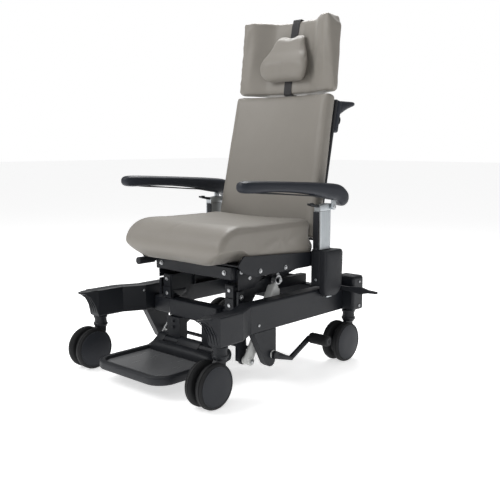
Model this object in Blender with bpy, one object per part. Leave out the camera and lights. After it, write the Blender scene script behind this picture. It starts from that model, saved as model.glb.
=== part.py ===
"""Sit to stand lift: a padded chair on a scissor lift, with twin castors and a folding footplate.

X points to the sitter's left, -Y to the front and +Z up; the floor is z = 0. Metres throughout.
"""
import bpy
import bmesh
from math import asin, atan2, cos, pi, radians, sin, tan
from mathutils import Matrix, Vector

# ---- fits ------------------------------------------------------------------------------------
GAP = 0.0003               # two pieces bolted or resting face to face
RUN = 0.0005               # a pin in its bore, or a roller in its track

# ---- castors ---------------------------------------------------------------------------------
WHEEL_R = 0.075
WHEEL_W = 0.030
WHEEL_GAP = 0.018          # between the twin wheels
TRAIL = 0.050              # axle ahead of the swivel
STEM_R = 0.0225
AXLE_R = 0.008
STEM_X = 0.3155
STEM_Y = (-0.3025, 0.4025) # front and rear swivels

# ---- base frame ------------------------------------------------------------------------------
BEAM_Z0, BEAM_Z1 = 0.190, 0.290
BEAM_X0, BEAM_X1 = 0.245, 0.300
HORN_Y = -0.397            # front tip of a side beam
HORN_X = 0.310
REAR_BOX = (0.268, 0.352, 0.380, 0.448, 0.320)   # x0, x1, y0, y1, top
FRONT_BAR = (-0.100, -0.055, 0.185, 0.245)       # y0, y1, z0, z1
REAR_BAR = (0.315, 0.355, 0.200, 0.283)
SLEEVE_X = 0.125
SLEEVE_Y = -0.130

# ---- scissor lift ----------------------------------------------------------------------------
ARM_L = 0.400              # pivot to roller
ARM_DEEP = 0.028
ARM_THICK = 0.012
PIVOT_Y = -0.080
PIVOT_Z = 0.302            # arm pivot on the base
LIFT_FOLD = 0.088          # height of the carriage pivot above the base pivot, folded
OUTER_X = 0.1855           # inner face of the outer arms
INNER_X = 0.118            # inner face of the inner arms
PIN_R = 0.007
ROLLER_R = 0.014
CHANNEL_WALL = 0.004

# ---- lift actuator, on the sitter's left -----------------------------------------------------
ACT_X = 0.222
ACT_FOOT = (-0.071, 0.070) # y, z of its lower pivot
ACT_R = 0.019
ACT_ARM = 0.165            # its pin along the outer arm
ACT_BODY = 0.255           # top of the motor body above its lower pivot
ACT_EYE = 0.0125           # loose eye round the arm's pin

# ---- seat ------------------------------------------------------------------------------------
SEAT_X = 0.250
SEAT_Y0, SEAT_Y1 = -0.240, 0.252
SEAT_Z0, SEAT_Z1 = 0.415, 0.546
NOSE = (0.100, 0.078)      # length and height of the cushion's rounded nose
PAN_Y0, PAN_Y1 = -0.130, 0.290
PAN_WALL = 0.006
PAN_X = SEAT_X + RUN + PAN_WALL
PAN_LIP = 0.034            # height of the pan's side walls above its sheet, at the front
SKIRT_Z = 0.372
TILT = (-0.115, 0.398)     # y, z of the seat's tilt axis

# ---- back and headrest -----------------------------------------------------------------------
BACK_PIVOT = (0.305, 0.430)
BACK_LEAN = radians(11.4)
BACK_X = (0.260, 0.242)           # half width of the cushion at its bottom and top
BACK_H0, BACK_H1 = 0.030, 0.590   # cushion, measured up the back from its pivot
BACK_D0, BACK_D1 = -0.069, -0.010 # front and rear of the cushion, across the back
BACK_HOLLOW = 0.022
SHELL_X = 0.2395
SHELL_T = 0.012
HEAD_H0, HEAD_H1 = 0.5935, 0.898
HEAD_D = -0.018                   # front of the headrest pad at its middle
HEAD_T = 0.048
HEAD_LOW = (0.250, -0.050)        # half width and front of the wings, at the bottom
HEAD_TOP = (0.215, -0.105)        # and at the top
STAY_X = 0.060
STAY_R = 0.006

# ---- arms ------------------------------------------------------------------------------------
POST_X = (0.268, 0.300)
POST_Y = (0.236, 0.298)
POST_TOP = 0.600
ARM_PIVOT = (0.306, 0.592)
ARM_X = (0.272, 0.325)
COVER_X1 = 0.334
COVER_Y = (0.230, 0.340)
COVER_Z = (0.262, 0.435)

# ---- footplate -------------------------------------------------------------------------------
FOOT_HINGE = (-0.130, 0.090)
FOOT_R = 0.028
FOOT_X = 0.181
FOOT_Y0 = -0.441
FOOT_Z0, FOOT_Z1 = 0.050, 0.080
HANGER_X = (0.058, 0.128)

# ---- brakes and levers -----------------------------------------------------------------------
BRAKE = (-0.022, 0.098)
BRAKE_R = 0.007
PEDAL_TIP = (0.174, 0.121)
PEDAL_X = 0.392
SIDE_LEVER = (0.302, 0.361, 0.280)
SIDE_LEVER_TIP = 0.470

COLOURS = {                # base colour, roughness, metallic
    "satin_frame": ((0.030, 0.033, 0.040), 0.45, 0.3),
    "beam_coat": ((0.030, 0.033, 0.040), 0.45, 0.3),
    "black_plastic": ((0.015, 0.016, 0.018), 0.55, 0.0),
    "rubber": ((0.012, 0.012, 0.013), 0.8, 0.0),
    "grey_vinyl": ((0.27, 0.25, 0.22), 0.5, 0.0),
    "arm_pad": ((0.022, 0.026, 0.036), 0.6, 0.0),
    "aluminium": ((0.62, 0.65, 0.67), 0.35, 0.9),
    "light_grey_plastic": ((0.62, 0.63, 0.62), 0.45, 0.0),
    "steel": ((0.55, 0.55, 0.55), 0.3, 1.0),
    "webbing": ((0.02, 0.02, 0.02), 0.9, 0.0),
}
SIDES = (("left", 1), ("right", -1))


# ---- helpers ---------------------------------------------------------------------------------
def clear_scene():
    for old in list(bpy.data.objects):
        bpy.data.objects.remove(old, do_unlink=True)


def material(name):
    """Return the named Principled material, made once."""
    found = bpy.data.materials.get(name)
    if found:
        return found
    colour, roughness, metallic = COLOURS[name]
    made = bpy.data.materials.new(name)
    made.use_nodes = True
    shader = made.node_tree.nodes["Principled BSDF"]
    shader.inputs["Base Color"].default_value = (*colour, 1)
    shader.inputs["Roughness"].default_value = roughness
    shader.inputs["Metallic"].default_value = metallic
    return made


def finish(name, bm, look, origin=(0, 0, 0), parent=None):
    """Turn a bmesh into an object whose origin is at the given point."""
    bmesh.ops.translate(bm, verts=bm.verts, vec=-Vector(origin))
    bmesh.ops.recalc_face_normals(bm, faces=bm.faces)
    mesh = bpy.data.meshes.new(name)
    bm.to_mesh(mesh)
    bm.free()
    mesh.shade_smooth()
    mesh.set_sharp_from_angle(angle=radians(35))
    mesh.materials.append(material(look))
    made = bpy.data.objects.new(name, mesh)
    made.location = origin
    made.parent = parent
    bpy.context.collection.objects.link(made)
    return made


def empty(name, at, rotation=(0, 0, 0)):
    made = bpy.data.objects.new(name, None)
    made.location = at
    made.rotation_euler = rotation
    bpy.context.collection.objects.link(made)
    return made


def box(x, y, z, round_off=0.0, steps=1):
    """Return a box between the three pairs of limits, with its edges rounded."""
    bm = bmesh.new()
    bmesh.ops.create_cube(bm, size=1)
    middle = [(a[0] + a[1]) / 2 for a in (x, y, z)]
    size = [abs(a[1] - a[0]) for a in (x, y, z)]
    bmesh.ops.scale(bm, verts=bm.verts, vec=size)
    bmesh.ops.translate(bm, verts=bm.verts, vec=middle)
    if round_off:
        bmesh.ops.bevel(bm, geom=bm.edges[:], offset=round_off, segments=steps, profile=0.5,
                        affect="EDGES", material=-1)
    return bm


def prism(outline, x0, x1):
    """Extrude a (y, z) outline along X from x0 to x1."""
    bm = bmesh.new()
    face = bm.faces.new([bm.verts.new((x0, y, z)) for y, z in outline])
    wall = bmesh.ops.extrude_face_region(bm, geom=[face])
    moved = [v for v in wall["geom"] if isinstance(v, bmesh.types.BMVert)]
    bmesh.ops.translate(bm, verts=moved, vec=(x1 - x0, 0, 0))
    return bm


def loft(rings):
    """Join rings of the same number of points, closed at both ends."""
    bm = bmesh.new()
    rows = [[bm.verts.new(p) for p in ring] for ring in rings]
    for low, high in zip(rows, rows[1:]):
        for i in range(len(low)):
            bm.faces.new((low[i - 1], low[i], high[i], high[i - 1]))
    bm.faces.new(rows[0])
    bm.faces.new(rows[-1])
    return bm


def round_rims(bm, level, offset, steps=2):
    """Round the edges that run round both ends of a loft or prism along the given axis."""
    rims = [e for e in bm.edges if len([f for f in e.link_faces if len(f.verts) > 4]) == 1
            and abs(e.verts[0].co[level] - e.verts[1].co[level]) < 0.03]
    bmesh.ops.bevel(bm, geom=rims, offset=offset, segments=steps, profile=0.5, affect="EDGES", material=-1)


def rod(start, end, radius, segments=20, tip=None):
    """Return a round bar from start to end."""
    start, end = Vector(start), Vector(end)
    bm = bmesh.new()
    along = end - start
    bmesh.ops.create_cone(bm, cap_ends=True, segments=segments, radius1=radius,
                          radius2=radius if tip is None else tip, depth=along.length)
    turn = along.to_track_quat("Z", "Y").to_matrix().to_4x4()
    bmesh.ops.transform(bm, verts=bm.verts, matrix=Matrix.Translation((start + end) / 2) @ turn)
    return bm


def arc(centre, radius, start, stop, steps):
    """Points of an arc in degrees, both ends included."""
    turns = [radians(start + (stop - start) * i / steps) for i in range(steps + 1)]
    return [(centre[0] + radius * cos(t), centre[1] + radius * sin(t)) for t in turns]


def combine(target, tool, operation, parent=None):
    """Add a Boolean of a hidden helper to the target."""
    helper = finish(f"{target.name}_{operation.lower()}", tool, "steel", parent=parent)
    helper.hide_render = True
    helper.display_type = "WIRE"
    step = target.modifiers.new(operation.title(), "BOOLEAN")
    step.operation = operation
    step.solver = "EXACT"
    step.object = helper


def add(target, tool, parent=None):
    combine(target, tool, "UNION", parent)


def cut(target, tool, parent=None):
    combine(target, tool, "DIFFERENCE", parent)


def span(side, a, b):
    """Limits a to b on one side of the middle, in rising order."""
    return tuple(sorted((side * a, side * b)))


# ---- castors ---------------------------------------------------------------------------------
def castor_body(name, stem):
    """Swivel barrel, the neck between the wheels and the axle, turning about the stem."""
    x, y = stem
    half = WHEEL_GAP / 2 - RUN * 2
    top = BEAM_Z0 - GAP
    barrel_z = WHEEL_R * 2 - 0.004
    body = finish(name, rod((x, y, barrel_z), (x, y, top), STEM_R, 24), "satin_frame", (x, y, 0))
    axle = (y - TRAIL, WHEEL_R)
    neck = arc(axle, 0.018, 150, 330, 8) + [(y + 0.018, WHEEL_R + 0.050), (y + 0.020, barrel_z + 0.004),
                                             (y - 0.020, barrel_z + 0.004), (y - 0.044, WHEEL_R + 0.045)]
    add(body, prism(neck, x - half, x + half))
    reach = WHEEL_GAP / 2 + WHEEL_W - 0.008
    add(body, rod((x - reach, *axle), (x + reach, *axle), AXLE_R))
    return body


def wheel(name, x, y, side):
    """One wheel of a twin pair: a flat outer cover and a blind bore for the axle."""
    inner = WHEEL_GAP / 2
    bore = AXLE_R + RUN
    deep = inner + WHEEL_W - 0.006
    profile = [(0, deep), (bore, deep), (bore, inner), (WHEEL_R - 0.012, inner),
               (WHEEL_R - 0.003, inner + 0.004), (WHEEL_R, inner + 0.010),
               (WHEEL_R, inner + WHEEL_W - 0.010), (WHEEL_R - 0.003, inner + WHEEL_W - 0.003),
               (WHEEL_R - 0.009, inner + WHEEL_W), (0, inner + WHEEL_W)]
    bm = bmesh.new()
    verts = [bm.verts.new((side * along, 0, radius)) for radius, along in profile]
    edges = [bm.edges.new(pair) for pair in zip(verts, verts[1:])]
    bmesh.ops.spin(bm, geom=edges, cent=(0, 0, 0), axis=(1, 0, 0), angle=2 * pi, steps=28, use_merge=True)
    bmesh.ops.remove_doubles(bm, verts=bm.verts, dist=1e-5)
    bmesh.ops.translate(bm, verts=bm.verts, vec=(x, y, WHEEL_R))
    return finish(name, bm, "rubber", (x, y, WHEEL_R))


def castors():
    for side_name, side in SIDES:
        for end_name, y in zip(("front", "rear"), STEM_Y):
            x = side * STEM_X
            castor_body(f"castor_{end_name}_{side_name}", (x, y))
            wheel(f"wheel_{end_name}_{side_name}_outer", x, y - TRAIL, side)
            wheel(f"wheel_{end_name}_{side_name}_inner", x, y - TRAIL, -side)


# ---- base frame ------------------------------------------------------------------------------
def side_beam(name, side):
    """Deep side beam that flares out to a horn over the front castor, with a rear castor box."""
    flare = STEM_X - (BEAM_X0 + BEAM_X1) / 2
    wide = (BEAM_X1 - BEAM_X0) / 2
    stem = STEM_Y[0]
    mid = STEM_X - flare
    sections = [                      # y, middle x, half width, bottom
        (REAR_BOX[2] + 0.01, mid, wide, BEAM_Z0), (-0.140, mid, wide, BEAM_Z0),
        (-0.220, STEM_X - 0.004, wide, BEAM_Z0), (stem - STEM_R - 0.002, STEM_X, wide, BEAM_Z0),
        (stem - 0.034, STEM_X, wide * 0.93, BEAM_Z0 + 0.040), (stem - 0.052, STEM_X - 0.002, wide * 0.78, 0.262),
        (stem - 0.072, HORN_X + 0.001, wide * 0.55, 0.278), (HORN_Y, HORN_X, wide * 0.25, 0.283)]
    bm = loft([[(side * (middle + dx), y, z) for dx, z in
                ((-half, low), (half, low), (half, BEAM_Z1), (-half, BEAM_Z1))]
               for y, middle, half, low in sections])
    long_edges = [e for e in bm.edges if abs(e.verts[0].co.y - e.verts[1].co.y) > 0.02]
    bmesh.ops.bevel(bm, geom=long_edges, offset=0.006, segments=2, profile=0.5, affect="EDGES", material=-1)
    beam = finish(name, bm, "beam_coat")
    x0, x1, y0, y1, top = REAR_BOX
    add(beam, box(span(side, x0, x1), (y0, y1), (BEAM_Z0, top), 0.008, 2))
    return beam


def cross_beams():
    y0, y1, z0, z1 = FRONT_BAR
    reach = BEAM_X0 - GAP
    front = finish("front_crossbeam", box((-reach, reach), (y0, y1), (z0, z1), 0.004), "beam_coat")
    add(front, box((-SLEEVE_X, SLEEVE_X), (SLEEVE_Y, y0 + 0.010), (z0 + 0.003, z1 + 0.007), 0.006, 2))
    y0, y1, z0, z1 = REAR_BAR
    finish("rear_crossbeam", box((-reach, reach), (y0, y1), (z0, z1), 0.004), "beam_coat")


def track_outline(centre_z):
    """Heights of a C channel round a roller whose axis is at centre_z."""
    clear = ROLLER_R + RUN
    return centre_z - clear - CHANNEL_WALL, centre_z - clear, centre_z + clear, centre_z + clear + CHANNEL_WALL


def channel(x_web, x_lip, y0, y1, centre_z, name, origin=(0, 0, 0)):
    """C channel along Y with its web at x_web and its open side at x_lip."""
    z0, z1, z2, z3 = track_outline(centre_z)
    made = finish(name, box((x_web, x_lip), (y0, y1), (z0, z3)), "satin_frame", origin)
    inward = CHANNEL_WALL if x_lip > x_web else -CHANNEL_WALL
    past = x_lip + inward
    cut(made, box((x_web + inward, past), (y0 + 0.006, y1 - 0.006), (z1, z2)))
    return made


def lift_base(side_name, side):
    """Pivot bracket on the front crossbeam and the track that the inner arm's roller runs in."""
    x0, x1 = INNER_X + ARM_THICK + 0.010, OUTER_X - RUN
    low, high = FRONT_BAR[3] + GAP, PIVOT_Z + 0.034
    outline = [(FRONT_BAR[0], low), (FRONT_BAR[1] + 0.03, low), (0.010, PIVOT_Z - 0.015),
               (0.010, high), (FRONT_BAR[0], high)]
    bracket = finish(f"lift_bracket_{side_name}", prism(outline, *span(side, x0, x1)), "satin_frame")
    add(bracket, rod((side * (x1 - 0.01), PIVOT_Y, PIVOT_Z),
                     (side * (OUTER_X + ARM_THICK + 0.004), PIVOT_Y, PIVOT_Z), PIN_R))
    web = INNER_X + ARM_THICK + 0.030
    channel(side * web, side * (INNER_X + ARM_THICK + 0.002), 0.010 + GAP, REAR_BAR[0] + 0.020, PIVOT_Z,
            f"roller_track_{side_name}")


def hangers(side_name, side):
    """Footplate hanger under the sleeve, ending in a hinge knuckle."""
    y, z = FOOT_HINGE
    top = FRONT_BAR[2] + 0.003 - GAP
    front, back = y - 0.008, y + 0.030
    outline = [(front, top), (front, z + 0.02)] + arc((y, z), FOOT_R - 0.002, 130, 360, 10) + \
              [(back, z + 0.03), (back, top)]
    hanger = finish(f"footplate_hanger_{side_name}", prism(outline, *span(side, *HANGER_X)), "satin_frame")
    add(hanger, rod((side * (HANGER_X[0] - 0.045), y, z), (side * (FOOT_X - 0.012), y, z), PIN_R))


def brake_bracket(side_name, side):
    y, z = BRAKE
    top = BEAM_Z0 - GAP
    outline = [(y - 0.100, top), (y - 0.034, z - 0.030)] + arc((y - 0.010, z - 0.020), 0.022, 200, 340, 5) + \
              [(y + 0.016, z), (y + 0.016, top)]
    plate = finish(f"brake_bracket_{side_name}", prism(outline, *span(side, 0.268, 0.296)), "satin_frame")
    cut(plate, rod((side * 0.25, y, z), (side * 0.31, y, z), BRAKE_R + RUN))


def actuator_bracket():
    y, z = ACT_FOOT
    x1 = ACT_X - ACT_R - 0.0015
    x0 = x1 - 0.012
    top = FRONT_BAR[2] - GAP
    outline = [(FRONT_BAR[0], top), (y - 0.030, z)] + arc((y, z), 0.018, 200, 340, 5) + \
              [(FRONT_BAR[1] - 0.002, z + 0.030), (FRONT_BAR[1] - 0.002, top)]
    plate = finish("actuator_bracket", prism(outline, x0, x1), "satin_frame")
    add(plate, rod((x0 + 0.004, y, z), (ACT_X + ACT_R + 0.001, y, z), PIN_R - 0.001))


# ---- scissor lift ----------------------------------------------------------------------------
FOLD_ANGLE = asin(LIFT_FOLD / ARM_L)
ROLLER_Y = PIVOT_Y + ARM_L * cos(FOLD_ANGLE)
MID = (PIVOT_Y + ARM_L / 2 * cos(FOLD_ANGLE), PIVOT_Z + LIFT_FOLD / 2)
CARRY_Z = PIVOT_Z + LIFT_FOLD


def link(start, end, x0, x1):
    """Flat arm with round ends between two points in the Y-Z plane."""
    angle = atan2(end[1] - start[1], end[0] - start[0]) * 180 / pi
    outline = arc(start, ARM_DEEP / 2, angle + 90, angle + 270, 8) + arc(end, ARM_DEEP / 2, angle - 90, angle + 90, 8)
    return prism(outline, x0, x1)


def along(start, end, share):
    return tuple(a + (b - a) * share for a, b in zip(start, end))


def scissor():
    """Two welded frames that cross: the outer one pivots on the base, the inner one on the carriage."""
    low, high = (PIVOT_Y, PIVOT_Z), (PIVOT_Y, CARRY_Z)
    low_rear, high_rear = (ROLLER_Y, PIVOT_Z), (ROLLER_Y, CARRY_Z)
    reach = OUTER_X + 0.004
    outer = finish("outer_arms", rod((-reach, *MID), (reach, *MID), PIN_R + 0.001), "satin_frame", (0, *low))
    for _, side in SIDES:
        x0, x1 = OUTER_X, OUTER_X + ARM_THICK
        add(outer, link(low, high_rear, *span(side, x0, x1)))
        add(outer, rod((side * (x0 + 0.004), *high_rear), (side * (x0 - 0.018), *high_rear), ROLLER_R))
        cut(outer, rod((side * (x0 - 0.01), *low), (side * (x1 + 0.01), *low), PIN_R + RUN))
    pin = along(low, high_rear, ACT_ARM / ARM_L)
    add(outer, rod((OUTER_X + 0.008, *pin), (ACT_X + 0.019, *pin), PIN_R))
    tie = along(high, low_rear, 0.78)
    reach = INNER_X + 0.004
    inner = finish("inner_arms", rod((-reach, *tie), (reach, *tie), 0.011), "satin_frame", (0, *MID))
    for _, side in SIDES:
        x0, x1 = INNER_X, INNER_X + ARM_THICK
        add(inner, link(high, low_rear, *span(side, x0, x1)))
        add(inner, rod((side * (x1 - 0.004), *low_rear), (side * (x1 + 0.022), *low_rear), ROLLER_R))
        for hole, radius in ((high, PIN_R), (MID, PIN_R + 0.001)):
            cut(inner, rod((side * (x0 - 0.01), *hole), (side * (x1 + 0.01), *hole), radius + RUN))


def actuator():
    """Motor body on the base bracket, and the rod whose loose eye takes the arm's pin."""
    foot = Vector((ACT_X, *ACT_FOOT))
    pin = along((PIVOT_Y, PIVOT_Z), (ROLLER_Y, CARRY_Z), ACT_ARM / ARM_L)
    aim = Vector((ACT_X, *pin)) - foot
    reach, unit = aim.length, aim.normalized()
    body = finish("actuator_body", rod(foot - unit * 0.020, foot + unit * ACT_BODY, ACT_R, 24),
                  "light_grey_plastic", foot)
    across = Vector((0, unit.z, -unit.y))
    bulk = loft([[foot + unit * reach_up + Vector((dx, 0, 0)) + across * dy for dx, dy in
                  ((-ACT_R, -0.015), (-0.014, -ACT_R), (0.014, -ACT_R), (ACT_R, -0.015), (ACT_R, 0.028),
                   (0.014, 0.032), (-0.014, 0.032), (-ACT_R, 0.028))] for reach_up in (0.150, ACT_BODY)])
    add(body, bulk)
    cut(body, rod(foot + unit * 0.060, foot + unit * (ACT_BODY + 0.01), 0.010 + RUN))
    cut(body, rod(foot - Vector((0.05, 0, 0)), foot + Vector((0.05, 0, 0)), PIN_R - 0.001 + RUN))
    piston = finish("actuator_rod", rod(foot + unit * 0.070, foot + unit * (reach - ACT_EYE - 0.001), 0.010),
                    "steel", foot)
    eye = foot + unit * reach
    add(piston, rod(eye - Vector((0.010, 0, 0)), eye + Vector((0.010, 0, 0)), ACT_EYE + 0.0045))
    cut(piston, rod(eye - Vector((0.03, 0, 0)), eye + Vector((0.03, 0, 0)), ACT_EYE))


def carriage():
    """Rails with the upper roller tracks, joined by a front and a rear crossbar."""
    origin = (0, PIVOT_Y, CARRY_Z)
    web = OUTER_X - 0.0265
    z0, _, _, z3 = track_outline(CARRY_Z)
    for side_name, side in SIDES:
        rail = channel(side * web, side * (OUTER_X - 0.0025), -0.100, 0.335, CARRY_Z,
                       f"carriage_rail_{side_name}", origin)
        add(rail, rod((side * (web + 0.002), PIVOT_Y, CARRY_Z), (side * (INNER_X - 0.002), PIVOT_Y, CARRY_Z), PIN_R))
    reach = OUTER_X + ARM_THICK
    front = finish("carriage_front_bar", box((-reach, reach), (-0.128, -0.100 - GAP), (z0 - 0.012, z3 - 0.003), 0.003),
                   "satin_frame", origin)
    cut(front, box((-INNER_X, INNER_X), (-0.118, -0.09), (z0, z3 + 0.01)))
    finish("carriage_rear_bar", box((-web + GAP, web - GAP), (0.305, 0.330), (z0, z3 - 0.003), 0.003),
           "satin_frame", origin)


# ---- seat ------------------------------------------------------------------------------------
def seat():
    """Folded seat pan with side skirts, and the cushion with its rounded nose."""
    origin = (0, *TILT)
    top, sheet = SEAT_Z0 - GAP, 0.005
    pan = finish("seat_pan", box((-PAN_X, PAN_X), (PAN_Y0, PAN_Y1), (top - sheet, top)), "satin_frame", origin)
    y, z = BACK_PIVOT
    for side_name, side in SIDES:
        outline = [(PAN_Y0 - 0.025, top + 0.005), (PAN_Y0 - 0.005, top - 0.020), (PAN_Y0 + 0.06, SKIRT_Z),
                   (y - 0.010, SKIRT_Z)] + arc((y, z), 0.016, -60, 90, 5) + \
                  [(PAN_Y1 - 0.050, top + 0.010), (PAN_Y0 + 0.003, top + PAN_LIP)]
        add(pan, prism(outline, *span(side, PAN_X - PAN_WALL, PAN_X)))
    for side_name, side in SIDES:
        cut(pan, rod((side * (PAN_X - 0.02), y, z), (side * (PAN_X + 0.02), y, z), PIN_R + RUN))
    long, tall = NOSE
    nose = [(SEAT_Y0 + 0.006, SEAT_Z0 + 0.028), (SEAT_Y0 + 0.030, SEAT_Z0 + 0.006), (PAN_Y0 - 0.030, SEAT_Z0),
            (SEAT_Y1 - 0.014, SEAT_Z0), (SEAT_Y1 - 0.013, SEAT_Z0 + 0.055), (SEAT_Y1, SEAT_Z1 - 0.014),
            (SEAT_Y1 - 0.008, SEAT_Z1 - 0.002)]
    nose += [(SEAT_Y0 + long * (1 + y), SEAT_Z1 + tall * (z - 1)) for y, z in arc((0, 0), 1, 90, 180, 6)]
    bm = prism(nose, -SEAT_X, SEAT_X)
    rims = [e for e in bm.edges if abs(e.verts[0].co.x - e.verts[1].co.x) < 1e-6]
    bmesh.ops.bevel(bm, geom=rims, offset=0.007, segments=2, profile=0.5, affect="EDGES", material=-1)
    finish("seat_cushion", bm, "grey_vinyl", origin)


# ---- back and headrest, in the back's own frame ----------------------------------------------
def back():
    """Shell, cushion and push handles, built upright about the recline pivot and leaned back."""
    pivot = empty("back_pivot", (0, *BACK_PIVOT), (-BACK_LEAN, 0, 0))
    d0, d1 = BACK_D0, BACK_D1
    rings = []
    for half, h in zip(BACK_X, (BACK_H0, BACK_H1)):
        front = [(half * u, d0 + BACK_HOLLOW * (1 - u * u), h) for u in (-0.97, -0.7, -0.35, 0, 0.35, 0.7, 0.97)]
        rings.append([(-half, d0 + 0.012, h)] + front + [(half, d0 + 0.012, h), (half, d1 - 0.010, h)] +
                     [(half - 0.010, d1, h), (-half + 0.010, d1, h), (-half, d1 - 0.010, h)])
    cushion = loft(rings)
    round_rims(cushion, 2, 0.008)
    finish("back_cushion", cushion, "grey_vinyl", parent=pivot)
    shell_d = (d1 + GAP, d1 + GAP + SHELL_T)
    shell = finish("back_shell", box((-SHELL_X, SHELL_X), shell_d, (0.028, BACK_H1 - 0.02), 0.003), "black_plastic",
                   parent=pivot)
    inner = PAN_X - PAN_WALL - RUN
    stay_d = HEAD_D + HEAD_T + 0.014
    for side_name, side in SIDES:
        lug = arc((0, 0), 0.014, 180, 350, 6) + [(shell_d[1] - 0.001, 0.006), (shell_d[1] - 0.001, 0.060),
                                                 (shell_d[0] + 0.001, 0.060), (shell_d[0] + 0.001, 0.024),
                                                 (-0.011, 0.016)]
        add(shell, prism(lug, *span(side, inner - 0.014, inner)), pivot)
        add(shell, rod((side * (inner - 0.004), 0, 0), (side * (PAN_X + 0.003), 0, 0), PIN_R), pivot)
        socket = box(span(side, STAY_X - 0.012, STAY_X + 0.012), (shell_d[1] - 0.002, stay_d + 0.012),
                     (BACK_H1 - 0.160, BACK_H1 - 0.060), 0.003)
        add(shell, socket, pivot)
    for side_name, side in SIDES:
        cut(shell, rod((side * STAY_X, stay_d, BACK_H1 - 0.2), (side * STAY_X, stay_d, BACK_H1),
                       STAY_R + RUN), pivot)
        push_handle(side_name, side, shell_d[1] + GAP, pivot)
    headrest(stay_d, pivot)


def push_handle(side_name, side, d, pivot):
    """Plate on the back of the shell with a rearward grip, and its release loop."""
    x = (0.196, 0.226)
    h = 0.572
    plate = finish(f"push_handle_{side_name}", box(span(side, *x), (d, d + 0.030), (h - 0.125, h), 0.005, 2),
                   "black_plastic", parent=pivot)
    middle = side * 0.211
    add(plate, rod((middle, d + 0.020, h - 0.018), (middle, d + 0.127, h + 0.010), 0.0135, 20, 0.011), pivot)
    loop_h = h - 0.054
    loop = finish(f"handle_release_{side_name}",
                  box((middle - 0.010, middle + 0.010), (d + 0.030 + GAP, d + 0.058), (loop_h - 0.034, loop_h), 0.004, 2),
                  "black_plastic", parent=pivot)
    cut(loop, box((middle - 0.03, middle + 0.03), (d + 0.037, d + 0.050), (loop_h - 0.026, loop_h - 0.008)), pivot)


def headrest(stay_d, pivot):
    """Winged headrest pad on two stays, with its neck pillow and the strap that holds it."""
    h0, h1 = HEAD_H0, HEAD_H1
    rear = HEAD_D + HEAD_T
    rings = []
    for (half, wing), height, swell, spread in ((HEAD_LOW, h0, -0.018, 1.0), (HEAD_TOP, h1, 0.020, 1.1)):
        front = [(half * u, HEAD_D + (wing - HEAD_D) * u * u) for u in (-1, -0.75, -0.5, -0.2, 0.2, 0.5, 0.75, 1)]
        back = [(half * u * spread, rear + (wing - HEAD_D + swell) * max(0, abs(u) - 0.5) * 2)
                for u in (1, 0.75, 0.5, -0.5, -0.75, -1)]
        rings.append([(x, d, height + min(0, d - HEAD_D) * tan(BACK_LEAN) * (height == h1)) for x, d in front + back])
    bm = loft(rings)
    finish("headrest_pad", bm, "grey_vinyl", parent=pivot)
    plate = finish("headrest_stay", box((-0.095, 0.095), (rear + GAP, rear + 0.006), (h0 + 0.040, h1 - 0.080), 0.002),
                   "satin_frame", parent=pivot)
    cut(plate, box((-0.0215, 0.0215), (rear - 0.01, rear + 0.003), (h0, h1)), pivot)
    for side_name, side in SIDES:
        x = side * STAY_X
        add(plate, rod((x, stay_d, BACK_H1 - 0.155), (x, stay_d, h0 + 0.090), STAY_R, 16), pivot)
        add(plate, box((x - 0.010, x + 0.010), (rear + 0.004, stay_d + 0.004), (h0 + 0.055, h0 + 0.085), 0.002), pivot)
    middle = HEAD_D + (HEAD_TOP[1] - HEAD_D) * 0.04
    strap(middle, rear, h0, h1, pivot)
    near, far = middle - 0.003, middle - 0.023
    plan = [(-0.118, far), (-0.060, near - 0.006), (0, near), (0.060, near - 0.006), (0.118, far),
            (0.125, far - 0.012), (0.108, near - 0.058), (-0.108, near - 0.058), (-0.125, far - 0.012)]
    pillow = loft([[(x, d, h) for x, d in plan] for h in (h0 + 0.043, h1 - 0.062)])
    round_rims(pillow, 2, 0.014, 3)
    finish("neck_pillow", pillow, "grey_vinyl", parent=pivot)


def strap(front, rear, h0, h1, pivot):
    """Closed webbing band round the pad."""
    thick, lift = 0.0015, 0.0005
    outer = thick + lift
    band = finish("pillow_strap", box((-0.019, 0.019), (front - outer, rear + outer), (h0 - outer, h1 + outer)),
                  "webbing", parent=pivot)
    cut(band, box((-0.03, 0.03), (front - lift, rear + lift), (h0 - lift, h1 + lift)), pivot)


# ---- armrests --------------------------------------------------------------------------------
def armrest(side_name, side):
    """Cover on the seat's side, the post inside it, the release lever and the flip-up arm."""
    cover(side_name, side)
    x0, x1 = POST_X
    y0, y1 = POST_Y
    py, pz = ARM_PIVOT
    outline = [(y0, COVER_Z[0] + 0.050), (y1, COVER_Z[0] + 0.050), (y1, pz - 0.020)] + \
        arc((py, pz), 0.012, -60, 90, 5) + [(y1 - 0.02, POST_TOP + 0.006), (y0, POST_TOP)]
    post = finish(f"arm_post_{side_name}", prism(outline, *span(side, x0, x1)), "aluminium")
    cut(post, rod((side * (x0 - 0.01), py, pz), (side * (x1 + 0.01), py, pz), PIN_R - 0.001 + RUN))
    lever = [(y0 - GAP, POST_TOP - 0.008), (y0 - GAP, POST_TOP + 0.004), (y0 - 0.046, POST_TOP + 0.008),
             (y0 - 0.050, POST_TOP + 0.002)]
    finish(f"arm_release_{side_name}", prism(lever, *span(side, x0 + 0.006, x1 - 0.006)), "black_plastic",
           (side * (x0 + x1) / 2, y0, POST_TOP))
    arm_pad(side_name, side)


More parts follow.
